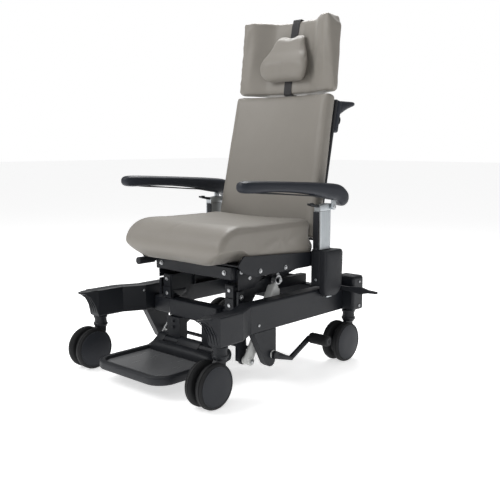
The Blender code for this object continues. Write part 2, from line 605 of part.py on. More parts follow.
def cover(side_name, side):
    """Moulded post housing; its lower half hangs outside the side beam."""
    y0, y1 = COVER_Y
    z0, z1 = COVER_Z
    x0, x1 = POST_X[0] - 0.006, COVER_X1
    outline = [(y0, z1), (y0, z0 + 0.020), (y0 + 0.014, z0 + 0.002)] + \
        arc((y1 - 0.052, z0 + 0.048), 0.050, 275, 350, 4) + [(y1, z1 - 0.060), (y1 - 0.012, z1)]
    bm = prism(outline, *span(side, x0, x1))
    rims = [e for e in bm.edges if abs(e.verts[0].co.x - e.verts[1].co.x) < 1e-6 and abs(e.verts[0].co.x) > BEAM_X1]
    bmesh.ops.bevel(bm, geom=rims, offset=0.008, segments=2, profile=0.5, affect="EDGES", material=-1)
    origin = (0, *TILT)
    shell = finish(f"arm_cover_{side_name}", bm, "black_plastic", origin)
    clear = BEAM_Z1 + 0.010
    cut(shell, box(span(side, x0 - 0.02, BEAM_X1 + 0.003), (y0 - 0.02, y1 + 0.02), (z0 - 0.05, clear)))
    cut(shell, box(span(side, POST_X[0] - GAP, POST_X[1] + GAP), (POST_Y[0] - GAP, POST_Y[1] + GAP),
                   (COVER_Z[0] + 0.049, z1 + 0.05)))
    add(shell, box(span(side, PAN_X + GAP, x0 + 0.004), (y0 + 0.030, y1 - 0.020), (SKIRT_Z + 0.006, SEAT_Z0 - 0.012)))


def arm_pad(side_name, side):
    """Arm with its slim front and the deep curl at its rear, turning on the post's ear."""
    py, pz = ARM_PIVOT
    outline = [(-0.182, 0.664), (0.000, 0.652), (0.215, 0.634), (0.250, 0.618), (0.332, 0.617), (0.338, 0.596)]
    outline += arc((0.350, 0.622), 0.034, 250, 300, 3) + arc((0.352, 0.634), 0.040, 330, 420, 5)
    outline += [(0.330, 0.679), (-0.140, 0.703)] + arc((-0.176, 0.685), 0.019, 80, 220, 4)
    bm = prism(outline, *span(side, *ARM_X))
    rims = [e for e in bm.edges if abs(e.verts[0].co.x - e.verts[1].co.x) < 1e-6]
    bmesh.ops.bevel(bm, geom=rims, offset=0.007, segments=2, profile=0.5, affect="EDGES", material=-1)
    origin = (side * (ARM_X[0] + ARM_X[1]) / 2, py, pz)
    pad = finish(f"armrest_{side_name}", bm, "arm_pad", origin)
    cheek = [(py - 0.011, 0.625)] + arc((py, pz), 0.011, 180, 360, 6) + [(py + 0.011, 0.625)]
    x0 = POST_X[1] + RUN
    add(pad, prism(cheek, *span(side, x0, x0 + 0.008)))
    add(pad, rod((side * (POST_X[0] - 0.002), py, pz), (side * (x0 + 0.004), py, pz), PIN_R - 0.001))


# ---- footplate -------------------------------------------------------------------------------
def footplate():
    """Tray with a raised lip and hinge barrels, folding up about its rear edge."""
    y, z = FOOT_HINGE
    origin = (0, y, z)
    rear = y - FOOT_R - 0.006
    bm = box((-FOOT_X, FOOT_X), (FOOT_Y0, rear), (FOOT_Z0, FOOT_Z1))
    uprights = [e for e in bm.edges if abs(e.verts[0].co.z - e.verts[1].co.z) > 0.01]
    front = [e for e in uprights if e.verts[0].co.y < -0.4]
    bmesh.ops.bevel(bm, geom=front, offset=0.066, segments=6, profile=0.5, affect="EDGES", material=-1)
    tray = finish("footplate", bm, "black_plastic", origin)
    floor = box((-FOOT_X + 0.022, FOOT_X - 0.022), (FOOT_Y0 + 0.022, rear - 0.022), (FOOT_Z1 - 0.012, FOOT_Z1 + 0.02))
    uprights = [e for e in floor.edges if abs(e.verts[0].co.z - e.verts[1].co.z) > 0.01]
    bmesh.ops.bevel(floor, geom=uprights, offset=0.034, segments=5, profile=0.5, affect="EDGES", material=-1)
    cut(tray, floor)
    barrels = (("middle", -HANGER_X[0] + 0.0006, HANGER_X[0] - 0.0006), ("left", HANGER_X[1] + 0.0006, FOOT_X - 0.008),
               ("right", -FOOT_X + 0.008, -HANGER_X[1] - 0.0006))
    for _, x0, x1 in barrels:
        outline = arc((y, z), FOOT_R, -40, 150, 10) + [(rear - 0.030, FOOT_Z1 + 0.004), (rear - 0.020, FOOT_Z0 + 0.004)]
        add(tray, prism(outline, x0, x1))
    cut(tray, rod((-FOOT_X + 0.006, y, z), (FOOT_X - 0.006, y, z), PIN_R + RUN))


# ---- brakes and levers -----------------------------------------------------------------------
def brakes():
    """Cross shaft with a cranked pedal and a rubber pad at each end."""
    y, z = BRAKE
    tip_y, tip_z = PEDAL_TIP
    origin = (0, y, z)
    reach = 0.312
    shaft = finish("brake_shaft", rod((-reach, y, z), (reach, y, z), BRAKE_R), "steel", origin)
    for side_name, side in SIDES:
        bend = (y + 0.088, z - 0.032)
        crank = [(y - 0.010, z - 0.012), (bend[0], bend[1] - 0.007), (tip_y + 0.005, tip_z - 0.007),
                 (tip_y - 0.004, tip_z + 0.007), (bend[0] - 0.006, bend[1] + 0.007), (y + 0.006, z + 0.012),
                 (y - 0.010, z + 0.010)]
        add(shaft, prism(crank, *span(side, 0.2985, 0.310)))
        add(shaft, rod((side * 0.300, tip_y, tip_z), (side * (PEDAL_X - 0.004), tip_y, tip_z), 0.006))
        pad = finish(f"brake_pad_{side_name}", rod((side * (0.310 + GAP), tip_y, tip_z), (side * PEDAL_X, tip_y, tip_z),
                                                    0.020), "rubber", origin)
        cut(pad, rod((side * 0.300, tip_y, tip_z), (side * (PEDAL_X - 0.004 + GAP), tip_y, tip_z), 0.006 + GAP))


def side_lever():
    """Flat tapering lever that stands out from the left beam, just ahead of the castor box."""
    x, y, z = SIDE_LEVER
    tip = SIDE_LEVER_TIP
    outline = [(x, z - 0.008), (x + 0.045, z - 0.008), (x + 0.095, z - 0.014), (x + 0.130, z - 0.006),
               (tip, z - 0.004), (tip, z + 0.004), (x + 0.130, z + 0.006), (x + 0.095, z + 0.014),
               (x + 0.045, z + 0.008), (x, z + 0.008)]
    bm = bmesh.new()
    face = bm.faces.new([bm.verts.new((a, y - 0.005, b)) for a, b in outline])
    grown = bmesh.ops.extrude_face_region(bm, geom=[face])["geom"]
    bmesh.ops.translate(bm, verts=[g for g in grown if isinstance(g, bmesh.types.BMVert)], vec=(0, 0.010, 0))
    finish("side_lever", bm, "black_plastic", (x, y, z))


def centre_origin():
    """Move the finished parts so that the origin is under the middle of the bounding box."""
    bpy.context.view_layer.update()
    graph = bpy.context.evaluated_depsgraph_get()
    places = []
    for made in bpy.data.objects:
        if made.type == "MESH" and not made.hide_render:
            solid = made.evaluated_get(graph)
            places += [solid.matrix_world @ v.co for v in solid.data.vertices]
    middle = [(min(p[i] for p in places) + max(p[i] for p in places)) / 2 for i in (0, 1)]
    for made in bpy.data.objects:
        if made.parent is None:
            made.location = made.location - Vector((*middle, 0))


def build():
    clear_scene()
    castors()
    for side_name, side in SIDES:
        side_beam(f"side_beam_{side_name}", side)
        lift_base(side_name, side)
        hangers(side_name, side)
        brake_bracket(side_name, side)
        armrest(side_name, side)
    cross_beams()
    actuator_bracket()
    scissor()
    actuator()
    carriage()
    seat()
    back()
    footplate()
    brakes()
    side_lever()
    centre_origin()


build()
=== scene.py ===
"""Sit to stand lift: the visual model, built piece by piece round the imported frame. Metres, +Z up."""
import bmesh
import bpy
from math import cos, pi, radians, sin, sqrt
from mathutils import Matrix, Vector
from mathutils.bvhtree import BVHTree


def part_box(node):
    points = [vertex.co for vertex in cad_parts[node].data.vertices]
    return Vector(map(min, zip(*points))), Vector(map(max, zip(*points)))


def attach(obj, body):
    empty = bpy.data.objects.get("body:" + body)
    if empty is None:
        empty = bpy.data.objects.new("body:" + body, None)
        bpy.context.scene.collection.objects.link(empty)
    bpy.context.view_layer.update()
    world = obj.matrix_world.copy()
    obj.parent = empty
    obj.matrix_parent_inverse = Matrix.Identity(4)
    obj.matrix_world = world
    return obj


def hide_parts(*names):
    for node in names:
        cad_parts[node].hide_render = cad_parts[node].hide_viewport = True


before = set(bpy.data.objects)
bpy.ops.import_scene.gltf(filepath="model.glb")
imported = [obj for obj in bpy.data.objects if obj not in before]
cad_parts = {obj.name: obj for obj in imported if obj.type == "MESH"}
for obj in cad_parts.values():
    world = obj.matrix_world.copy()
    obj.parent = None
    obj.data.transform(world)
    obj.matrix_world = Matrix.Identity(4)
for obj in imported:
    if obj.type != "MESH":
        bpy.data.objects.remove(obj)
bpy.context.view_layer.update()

# ---- Camera ----
# The lift is seen from the front and the sitter's left, from about the height of the seat back.
# The middle of the four wheel pairs, on the floor, is the point that the whole chair is laid out from.
wheel_boxes = [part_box(name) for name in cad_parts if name.startswith("wheel_")]
wheelbase = sum(((low + high) / 2 for low, high in wheel_boxes), Vector()) / len(wheel_boxes)
wheel_r = wheelbase.z
wheelbase.z = 0
eye = bpy.data.cameras.new("studio_camera")
eye.sensor_width = 36
eye.lens = 52.1
stand = wheelbase + Vector((1.886, -1.876, 0.821))
azimuth, pitch = radians(42.5), radians(8.31)
back_axis = Vector((sin(azimuth) * cos(pitch), -cos(azimuth) * cos(pitch), sin(pitch)))
right_axis = Vector((cos(azimuth), sin(azimuth), 0))


def stood(name, data):
    """A new object for the data, linked into the scene."""
    thing = bpy.data.objects.new(name, data)
    bpy.context.collection.objects.link(thing)
    return thing


camera = stood("studio_camera", eye)
camera.matrix_world = Matrix.Translation(stand) @ Matrix(
    (right_axis, back_axis.cross(right_axis), back_axis)).transposed().to_4x4()
bpy.context.scene.camera = camera


# ---- Castor wheels ----
# Eight 150 mm wheels in four twin pairs: a black tyre moulded on a nylon core, with a flat snap-on cover
# outside that has one thin raised line near its rim, and a shallow dish inside where the axle goes in.
class Grade:
    """One value in a material: a socket or a number, with the maths written as plain expressions."""

    def __init__(self, finish, socket):
        self.finish = finish
        self.socket = socket

    def math(self, operation, other):
        return self.finish.node("ShaderNodeMath", {"operation": operation}, {0: self, 1: other})

    def __add__(self, other):
        return self.math("ADD", other)

    def __mul__(self, other):
        return self.math("MULTIPLY", other)

    __radd__ = __add__
    __rmul__ = __mul__


class Finish:
    """A surface finish: a Principled material whose nodes come from node()."""

    def __init__(self, name, colour, roughness, metallic=0.0, **fixed):
        self.material = bpy.data.materials.new(name)
        self.material.use_nodes = True
        self.tree = self.material.node_tree
        self.shader = self.tree.nodes["Principled BSDF"]
        self.shader.inputs["Base Color"].default_value = (*colour, 1)
        self.shader.inputs["Roughness"].default_value = roughness
        self.shader.inputs["Metallic"].default_value = metallic
        for name, value in fixed.items():
            self.shader.inputs[name.replace("_", " ")].default_value = value
        self.place = self.node("ShaderNodeTexCoord", out="Object")

    def node(self, kind, settings=None, sockets=None, out=0):
        made = self.tree.nodes.new(kind)
        for name, value in (settings or {}).items():
            setattr(made, name, value)
        for name, value in (sockets or {}).items():
            self.feed(made.inputs[name], value)
        return Grade(self, made.outputs[out])

    def feed(self, socket, value):
        if isinstance(value, Grade):
            self.tree.links.new(value.socket, socket)
        else:
            socket.default_value = value

    def set(self, **sockets):
        for name, value in sockets.items():
            self.feed(self.shader.inputs[name.replace("_", " ")], value)
        return self

    def stretched(self, scale, turn=(0, 0, 0)):
        """The place on the piece, stretched and turned for a grain that runs one way."""
        return self.node("ShaderNodeMapping", {}, {"Vector": self.place, "Scale": scale, "Rotation": turn})

    def noise(self, scale, detail=2.0, place=None, rough=0.5):
        return self.node("ShaderNodeTexNoise", {}, {"Vector": place or self.place, "Scale": scale, "Detail": detail,
                                                    "Roughness": rough})

    def cells(self, scale):
        return self.node("ShaderNodeTexVoronoi", {}, {"Vector": self.place, "Scale": scale}, out="Distance")

    def steps(self, value, low, high):
        """0 below low and 1 above high, with a straight ramp between."""
        return self.node("ShaderNodeMapRange", {"clamp": True}, {"Value": value, "From Min": low, "From Max": high})

    def blend(self, share, first, second):
        """First colour at 0 and second at 1."""
        return self.node("ShaderNodeMix", {"data_type": "RGBA"}, {0: share, 6: (*first, 1), 7: (*second, 1)}, out=2)

    def bump(self, height, depth, strength=1.0, under=None):
        sockets = {"Height": height, "Distance": depth, "Strength": strength}
        if under:
            sockets["Normal"] = under
        return self.node("ShaderNodeBump", {}, sockets)


def tyre_rubber():
    """Matt black rubber with a bloom of dust in its fine grain."""
    finish = Finish("tyre_rubber", (0.012, 0.0125, 0.014), 0.62, Specular_IOR_Level=0.28)
    dust = finish.steps(finish.noise(38, 5, rough=0.65), 0.5, 0.78)
    grain = finish.noise(900, 3)
    return finish.set(Base_Color=finish.blend(dust * 0.35, (0.008, 0.0084, 0.0095), (0.026, 0.025, 0.024)),
                      Roughness=0.55 + dust * 0.2 + grain * 0.08,
                      Normal=finish.bump(grain, 0.00012)).material


def cover_nylon():
    """Spark-eroded charcoal nylon, scuffed a little lighter here and there."""
    finish = Finish("cover_nylon", (0.03, 0.033, 0.04), 0.46, Specular_IOR_Level=0.28)
    scuff = finish.steps(finish.noise(55, 6, finish.stretched((1, 1, 2.2)), 0.7), 0.56, 0.74)
    grain = finish.noise(1500, 2)
    return finish.set(Base_Color=finish.blend(scuff * 0.45, (0.017, 0.019, 0.024), (0.032, 0.034, 0.038)),
                      Roughness=0.4 + scuff * 0.14 + grain * 0.1,
                      Normal=finish.bump(grain, 0.00006)).material


def broken(piece, width):
    """Break the piece's sharp edges with a narrow bevel."""
    edge = piece.modifiers.new("edges", "BEVEL")
    edge.width = width
    edge.segments = 2
    edge.limit_method = "ANGLE"
    edge.angle_limit = radians(35)
    edge.harden_normals = True


def settle(name, bm, material, body, smooth=30, at=None, bevel=0, stands_for=None):
    """Make the finished piece in the row frame and let it ride on its body."""
    bm.transform(Matrix.Translation(wheelbase) if at is None else at)
    bm.normal_update()
    bmesh.ops.recalc_face_normals(bm, faces=bm.faces)
    mesh = bpy.data.meshes.new(name)
    bm.to_mesh(mesh)
    bm.free()
    mesh.shade_smooth()
    mesh.set_sharp_from_angle(angle=radians(smooth))
    mesh.materials.append(material)
    piece = stood(name, mesh)
    if bevel:
        broken(piece, bevel)
    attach(piece, body)
    if stands_for:
        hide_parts(stands_for)
    return piece


def turned(profile, axis, steps):
    """Spin a half section of (along the axis, radius) points about an axis through the origin."""
    bm = bmesh.new()
    side = Vector((0, 0, 1)) if abs(axis[2]) < 0.5 else Vector((1, 0, 0))
    axis = Vector(axis).normalized()
    verts = [bm.verts.new(axis * along + side * max(radius, 0)) for along, radius in profile]
    edges = [bm.edges.new(pair) for pair in zip(verts, verts[1:])]
    bmesh.ops.spin(bm, geom=edges, cent=(0, 0, 0), axis=axis, angle=2 * pi, steps=steps, use_merge=True)
    bmesh.ops.remove_doubles(bm, verts=bm.verts, dist=2e-5)
    return bm


rubber, nylon = tyre_rubber(), cover_nylon()
for node in sorted(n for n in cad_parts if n.startswith("wheel_")):
    low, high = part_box(node)
    middle, half = (low + high) / 2, (high.x - low.x) / 2
    stem_low, stem_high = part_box("castor_" + "_".join(node.split("_")[1:3]))
    out = 1 if middle.x > (stem_low.x + stem_high.x) / 2 else -1
    r, bore = wheel_r, 0.0088
    tyre = [(-half + a, r - b) for a, b in (
        (0.001, 0.024), (0.0002, 0.012), (0.003, 0.005), (0.007, 0.0012), (0.0085, 0.001), (0.0088, 0.0022),
        (0.01, 0.0022), (0.0103, 0.0006))]
    tyre += [(-0.004, r), (0.004, r)]
    tyre += [(half - a, r - b) for a, b in (
        (0.0103, 0.0006), (0.01, 0.0022), (0.0088, 0.0022), (0.0085, 0.001), (0.005, 0.0025), (0.0025, 0.006),
        (0.002, 0.01), (0.006, 0.014))]
    tyre += [(0, r - 0.024), tyre[0]]
    disc = [(half - a, r - b) for a, b in (
        (0.0045, 0.0095), (0.0005, 0.0098), (0.0001, 0.0106), (0.0004, 0.0118), (0.0012, 0.0124), (0.001, 0.0138),
        (0.0003, 0.016))]
    disc += [(half, 0.022), (half, 0), (0, 0), (0, r - 0.0095), disc[0]]
    core = [(-half + 0.0005, r - 0.0245), (-half + 0.004, r - 0.026), (-half + 0.007, 0.034), (-half + 0.007, 0.024),
            (-half + 0.001, 0.021), (-half + 0.001, bore + 0.001), (-half + 0.0018, bore), (half - 0.012, bore),
            (half - 0.012, r - 0.03), (0, r - 0.0245), (-half + 0.0005, r - 0.0245)]
    tyre, disc, core = ([(out * a, b) for a, b in profile] for profile in (tyre, disc, core))
    hub = Matrix.Translation(middle)
    settle(node + "_tyre", turned(tyre, (1, 0, 0), 72), rubber, node, at=hub, stands_for=node)
    settle(node + "_cover", turned(disc, (1, 0, 0), 72), nylon, node, 22, at=hub)
    settle(node + "_core", turned(core, (1, 0, 0), 48), nylon, node, at=hub)


# ---- Castor stems ----
# A steel swivel barrel bolted up into the beam, painted like the frame, with a cast neck that drops
# between the twin wheels. The turned collar under the beam hides the swivel bearing.
def powder_coat():
    """Near-black powder coat with a fine orange peel, a little worn and dusty in patches."""
    finish = Finish("powder_coat", (0.026, 0.029, 0.036), 0.42, 0.0, Specular_IOR_Level=0.3)
    wear = finish.steps(finish.noise(26, 6, rough=0.62), 0.54, 0.8)
    peel = finish.noise(620, 2)
    fine = finish.noise(2600, 1)
    return finish.set(Base_Color=finish.blend(wear * 0.5, (0.01, 0.0115, 0.015), (0.017, 0.019, 0.023)),
                      Roughness=0.36 + wear * 0.16 + fine * 0.08,
                      Normal=finish.bump(fine, 0.00003, under=finish.bump(peel, 0.00009))).material


coat = powder_coat()


def dress(node, material, bevel):
    """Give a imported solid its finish, and break its sharp edges the way paint does."""
    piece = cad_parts[node]
    piece.data.materials.clear()
    piece.data.materials.append(material)
    piece.modifiers.new("weld", "WELD").merge_threshold = 0.00002
    if bevel:
        broken(piece, bevel)


def joined(bm, *others):
    """Put other closed forms into the same piece."""
    for other in others:
        spare = bpy.data.meshes.new("spare")
        other.to_mesh(spare)
        other.free()
        bm.from_mesh(spare)
        bpy.data.meshes.remove(spare)
    return bm


def moved(bm, place):
    bm.transform(Matrix.Translation(place))
    return bm


for node in sorted(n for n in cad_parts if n.startswith("castor_")):
    low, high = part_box(node)
    stem = Vector(((low.x + high.x) / 2, 0, 0)) - Vector((wheelbase.x, 0, 0))
    stem.y = -0.3025 if "front" in node else 0.4025
    dress(node, coat, 0.0008)
    neck = turned([(0.1515, 0), (0.1515, 0.0246), (0.153, 0.0262), (0.16, 0.0262), (0.1616, 0.025), (0.1618, 0.0235),
                   (0.17, 0.0228), (0.1705, 0)], (0, 0, 1), 48)
    collar = turned([(0.1815, 0), (0.1815, 0.025), (0.1825, 0.0258), (0.1885, 0.0258), (0.1893, 0.025), (0.1893, 0)],
                    (0, 0, 1), 48)
    settle(node + "_collars", moved(joined(neck, collar), stem), coat, node)


# ---- Side beams ----
# Folded and welded steel box beams. Each one swells outwards to a horn that arches over the front
# castor, and carries a taller box over the rear castor, closed by a plastic cap.
def moulded_black():
    """Fine-grained black moulding, slightly blue, with faint flow lines."""
    finish = Finish("moulded_black", (0.02, 0.022, 0.027), 0.48, Specular_IOR_Level=0.3)
    grain = finish.cells(1100)
    flow = finish.noise(16, 4, finish.stretched((1, 1, 0.4)))
    faded = finish.steps(flow, 0.35, 0.7)
    return finish.set(Base_Color=finish.blend(faded, (0.013, 0.0145, 0.018), (0.019, 0.0205, 0.024)),
                      Roughness=0.42 + flow * 0.1 + grain * 0.06,
                      Normal=finish.bump(grain, 0.00008)).material


def zinc_steel():
    """Bright zinc plate on turned steel, faintly brushed and clouded."""
    finish = Finish("zinc_steel", (0.56, 0.57, 0.58), 0.28, 1.0)
    cloud = finish.noise(160, 4)
    lines = finish.noise(1400, 1, finish.stretched((1, 1, 0.08)))
    return finish.set(Base_Color=finish.blend(cloud, (0.42, 0.43, 0.44), (0.66, 0.67, 0.68)),
                      Roughness=0.2 + cloud * 0.2 + lines * 0.08, Normal=finish.bump(lines, 0.00002)).material


black, zinc = moulded_black(), zinc_steel()


def block(x, y, z, bevel=0.0, steps=3):
    """A box between three pairs of limits, its edges rounded."""
    bm = bmesh.new()
    bmesh.ops.create_cube(bm, size=1)
    bmesh.ops.scale(bm, verts=bm.verts, vec=[abs(b - a) for a, b in (x, y, z)])
    bmesh.ops.translate(bm, verts=bm.verts, vec=[(a + b) / 2 for a, b in (x, y, z)])
    if bevel:
        bmesh.ops.bevel(bm, geom=bm.edges[:], offset=bevel, segments=steps, profile=0.5, affect="EDGES", material=-1)
    return bm


def plate(outline, low, high, axis=0, bevel=0.0, steps=2):
    """A flat outline in the two other directions, given its thickness along one axis."""
    bm = bmesh.new()
    others = [i for i in (0, 1, 2) if i != axis]
    verts = []
    for pair in outline:
        spot = Vector((low, low, low))
        spot[others[0]], spot[others[1]] = pair
        verts.append(bm.verts.new(spot))
    face = bm.faces.new(verts)
    grown = bmesh.ops.extrude_face_region(bm, geom=[face])["geom"]
    step = Vector((0, 0, 0))
    step[axis] = high - low
    bmesh.ops.translate(bm, verts=[g for g in grown if isinstance(g, bmesh.types.BMVert)], vec=step)
    bmesh.ops.recalc_face_normals(bm, faces=bm.faces)
    if bevel:
        rims = [e for e in bm.edges if abs(e.verts[0].co[axis] - e.verts[1].co[axis]) < 1e-6]
        bmesh.ops.bevel(bm, geom=rims, offset=bevel, segments=steps, profile=0.5, affect="EDGES", material=-1)
    return bm


def bend(centre, radius, start, stop, steps):
    """Points of an arc in degrees, both ends included."""
    turns = [radians(start + (stop - start) * i / steps) for i in range(steps + 1)]
    return [(centre[0] + radius * cos(t), centre[1] + radius * sin(t)) for t in turns]


def aimed(bm, at, direction):
    """Stand a form that was made along +Z on a face, looking along direction."""
    bm.transform(Matrix.Translation(at) @ Vector(direction).to_track_quat("Z", "Y").to_matrix().to_4x4())
    return bm


def hex_bolt(at, direction, across=0.013, tall=0.006):
    """A hexagon head with its chamfer, on a washer."""
    rim, thick, corner = across * 0.78, 0.0014, across / 2 / cos(pi / 6)
    washer = turned([(0, 0), (0, rim), (thick, rim), (thick, 0)], (0, 0, 1), 28)
    head = bmesh.new()
    bmesh.ops.create_cone(head, cap_ends=True, segments=6, radius1=corner, radius2=corner, depth=tall)
    top = [e for e in head.edges if all(v.co.z > 0 for v in e.verts)]
    bmesh.ops.bevel(head, geom=top, offset=0.001, segments=2, profile=0.5, affect="EDGES", material=-1)
    return aimed(joined(washer, moved(head, (0, 0, thick + tall / 2))), at, direction)


def socket_screw(at, direction, radius=0.005, tall=0.003):
    """A round head with a sunk socket."""
    bm = turned([(0, 0), (0, radius), (tall * 0.6, radius), (tall, radius * 0.8), (tall, radius * 0.5),
                 (tall * 0.4, radius * 0.45), (tall * 0.4, 0)], (0, 0, 1), 24)
    return aimed(bm, at, direction)


hands = (("left", 1), ("right", -1))
for hand, side in hands:
    beam = "side_beam_" + hand
    dress(beam, coat, 0)
    lid = joined(block((side * 0.272, side * 0.348), (0.384, 0.444), (0.3195, 0.3225), 0.0014),
                 block((side * 0.28, side * 0.34), (0.392, 0.436), (0.3215, 0.3236), 0.0009),
                 block((side * 0.249, side * 0.296), (0.3795, 0.39), (0.194, 0.286), 0.002))
    settle(beam + "_rear_cap", lid, black, "chassis")
    screws = joined(*(socket_screw((side * x, y, z), (side * outward, 0, upward), radius)
                      for x, y, z, outward, upward, radius in (
                          (0.352, 0.42, 0.207, 1, 0, 0.0052), (0.352, 0.42, 0.3, 1, 0, 0.0042),
                          (0.3, -0.1, 0.215, 1, 0, 0.0046), (0.245, -0.15, 0.27, -1, 0, 0.0046),
                          (0.31, 0.414, 0.3236, 0, 1, 0.0048))))
    settle(beam + "_screws", screws, zinc, "chassis")
    rib = [(-0.32, 0.2), (-0.3305, 0.2), (-0.3395, 0.229), (-0.357, 0.26), (-0.3765, 0.2755), (-0.3765, 0.28),
           (-0.34, 0.25)]
    ribs = joined(*(plate(rib, side * x, side * (x + 0.0024)) for x in (0.2905, 0.3035, 0.3165, 0.3295)))
    settle(beam + "_horn_ribs", ribs, black, "chassis", 35, bevel=0.0005)
for node in ("front_crossbeam", "rear_crossbeam"):
    dress(node, coat, 0)
weld, weld_x = [(-0.099, 0.184), (-0.056, 0.184), (-0.056, 0.2462), (-0.099, 0.2462)], 0.2442
bands = bmesh.new()
for hand, side in hands:
    joined(bands, plate(weld, side * (weld_x - 0.0035), side * weld_x),
           turned([(0.183, 0), (0.183, 0.012), (0.186, 0.013), (0.1885, 0)], (0, 0, 1), 24))
settle("crossbeam_weld_bands", bands, coat, "chassis", 35, bevel=0.0012)


# ---- Scissor lift ----
# Two welded frames of flat steel arms that cross on one tube, between laser-cut brackets on the base
# and the seat carriage. Zinc hex bolts and snap rings hold the pivots.
for node in ("lift_bracket_left", "lift_bracket_right", "roller_track_left", "roller_track_right", "outer_arms",
             "inner_arms", "carriage_rail_left", "carriage_rail_right", "carriage_front_bar", "carriage_rear_bar"):
    dress(node, coat, 0.0008)


def eyelet(at, direction, inner, outer, tall):
    """A washer or snap ring standing on a face."""
    bm = turned([(0, inner), (0, outer), (tall * 0.7, outer), (tall, outer - tall * 0.3), (tall, inner), (0, inner)],
                (0, 0, 1), 32)
    return aimed(bm, at, direction)


ahead, arm_face = (0, -1, 0), 0.1976
for hand, side in hands:
    outward, cheek = (side, 0, 0), (side * 0.2055, side * 0.2085)
    bolts = joined(hex_bolt((side * 0.164, -0.1, 0.264), ahead), hex_bolt((side * 0.164, -0.1, 0.318), ahead),
                   hex_bolt((side * 0.185, -0.03, 0.26), outward, 0.011, 0.005),
                   eyelet((side * arm_face, -0.08, 0.302), outward, 0.0072, 0.0125, 0.0016),
                   socket_screw((side * 0.2012, -0.08, 0.302), outward, 0.0066, 0.003))
    settle("lift_bolts_" + hand, bolts, zinc, "chassis")
    pads = joined(plate([(-0.098, 0.248), (-0.06, 0.248), (-0.03, 0.262), (-0.03, 0.276), (-0.098, 0.276)],
                        side * 0.137, side * 0.1395, bevel=0.0006),
                  plate([(-0.1035, 0.292), (-0.1003, 0.292), (-0.1003, 0.334), (-0.1035, 0.334)],
                        side * 0.145, side * 0.183),
                  plate([(-0.105, 0.248), (-0.1003, 0.248), (-0.1003, 0.289), (-0.105, 0.289)],
                        side * 0.143, side * 0.1845))
    settle("lift_bracket_plates_" + hand, pads, coat, "chassis", 35, bevel=0.0007)
    settle("carriage_bolts_" + hand, hex_bolt((side * 0.164, -0.128, 0.383), ahead, 0.011, 0.005), zinc, "carriage")
    lower = plate([(-0.104, 0.252), (-0.076, 0.252), (-0.076, 0.318), (-0.104, 0.318)], *cheek, bevel=0.0008)
    joined(lower, block((side * 0.198, side * 0.2056), (-0.103, -0.099), (0.253, 0.317), 0.0006))
    settle("lift_cheek_" + hand, lower, coat, "chassis")
    upper = plate([(-0.104, 0.322), (-0.02, 0.322), (0.015, 0.35), (0.015, 0.396), (-0.104, 0.396)], *cheek,
                  bevel=0.0008)
    joined(upper, block((side * 0.1978, side * 0.2056), (-0.106, -0.101), (0.366, 0.395), 0.0006))
    settle("carriage_cheek_" + hand, upper, coat, "carriage")
    studs = joined(hex_bolt((cheek[1], -0.09, 0.388), outward, 0.012, 0.005),
                   socket_screw((cheek[1], -0.048, 0.36), outward, 0.007, 0.003))
    settle("carriage_studs_" + hand, studs, zinc, "carriage")
    settle("lift_stud_" + hand, hex_bolt((cheek[1], -0.09, 0.297), outward, 0.012, 0.005), zinc, "chassis")
    caps = joined(eyelet((side * arm_face, 0.1151, 0.346), outward, 0, 0.011, 0.0022),
                  eyelet((side * arm_face, 0.3102, 0.39), outward, 0, 0.0095, 0.002))
    settle("outer_arm_caps_" + hand, caps, zinc, "outer_arms")


# ---- Lift actuator ----
# A light-grey linear drive on the sitter's left: a moulded gearbox housing in two halves over an
# aluminium tube, a black motor pot behind it, and a bright rod with a clevis eye.
def pale_moulding():
    """Light-grey glossy moulding with soft grime near its seams."""
    finish = Finish("pale_moulding", (0.58, 0.59, 0.58), 0.34)
    grime = finish.steps(finish.noise(42, 5), 0.52, 0.8)
    grain = finish.noise(1300, 1)
    return finish.set(Base_Color=finish.blend(grime * 0.5, (0.6, 0.61, 0.6), (0.42, 0.42, 0.4)),
                      Roughness=0.3 + grime * 0.25 + grain * 0.05, Normal=finish.bump(grain, 0.00004)).material


def lofted(rings, closed=False):
    """Bridge rings of points one after another, and fill the two ends or bridge the last to the first."""
    bm = bmesh.new()
    loops = []
    for ring in rings:
        verts = [bm.verts.new(point) for point in ring]
        loops.append([bm.edges.new(pair) for pair in zip(verts, verts[1:] + verts[:1])])
    for first, second in zip(loops, loops[1:] + loops[:closed]):
        bmesh.ops.bridge_loops(bm, edges=first + second)
    if not closed:
        bmesh.ops.holes_fill(bm, edges=loops[0] + loops[-1], sides=0)
    bmesh.ops.recalc_face_normals(bm, faces=bm.faces)
    return bm


def soft_ring(across, up, power, count=36):
    """A rounded oval of half sizes across and up."""
    def eased_part(size, share):
        return size * abs(share) ** (2 / power) * (1 if share > 0 else -1)

    turns = [2 * pi * i / count for i in range(count)]
    return [(eased_part(across, cos(t)), eased_part(up, sin(t))) for t in turns]


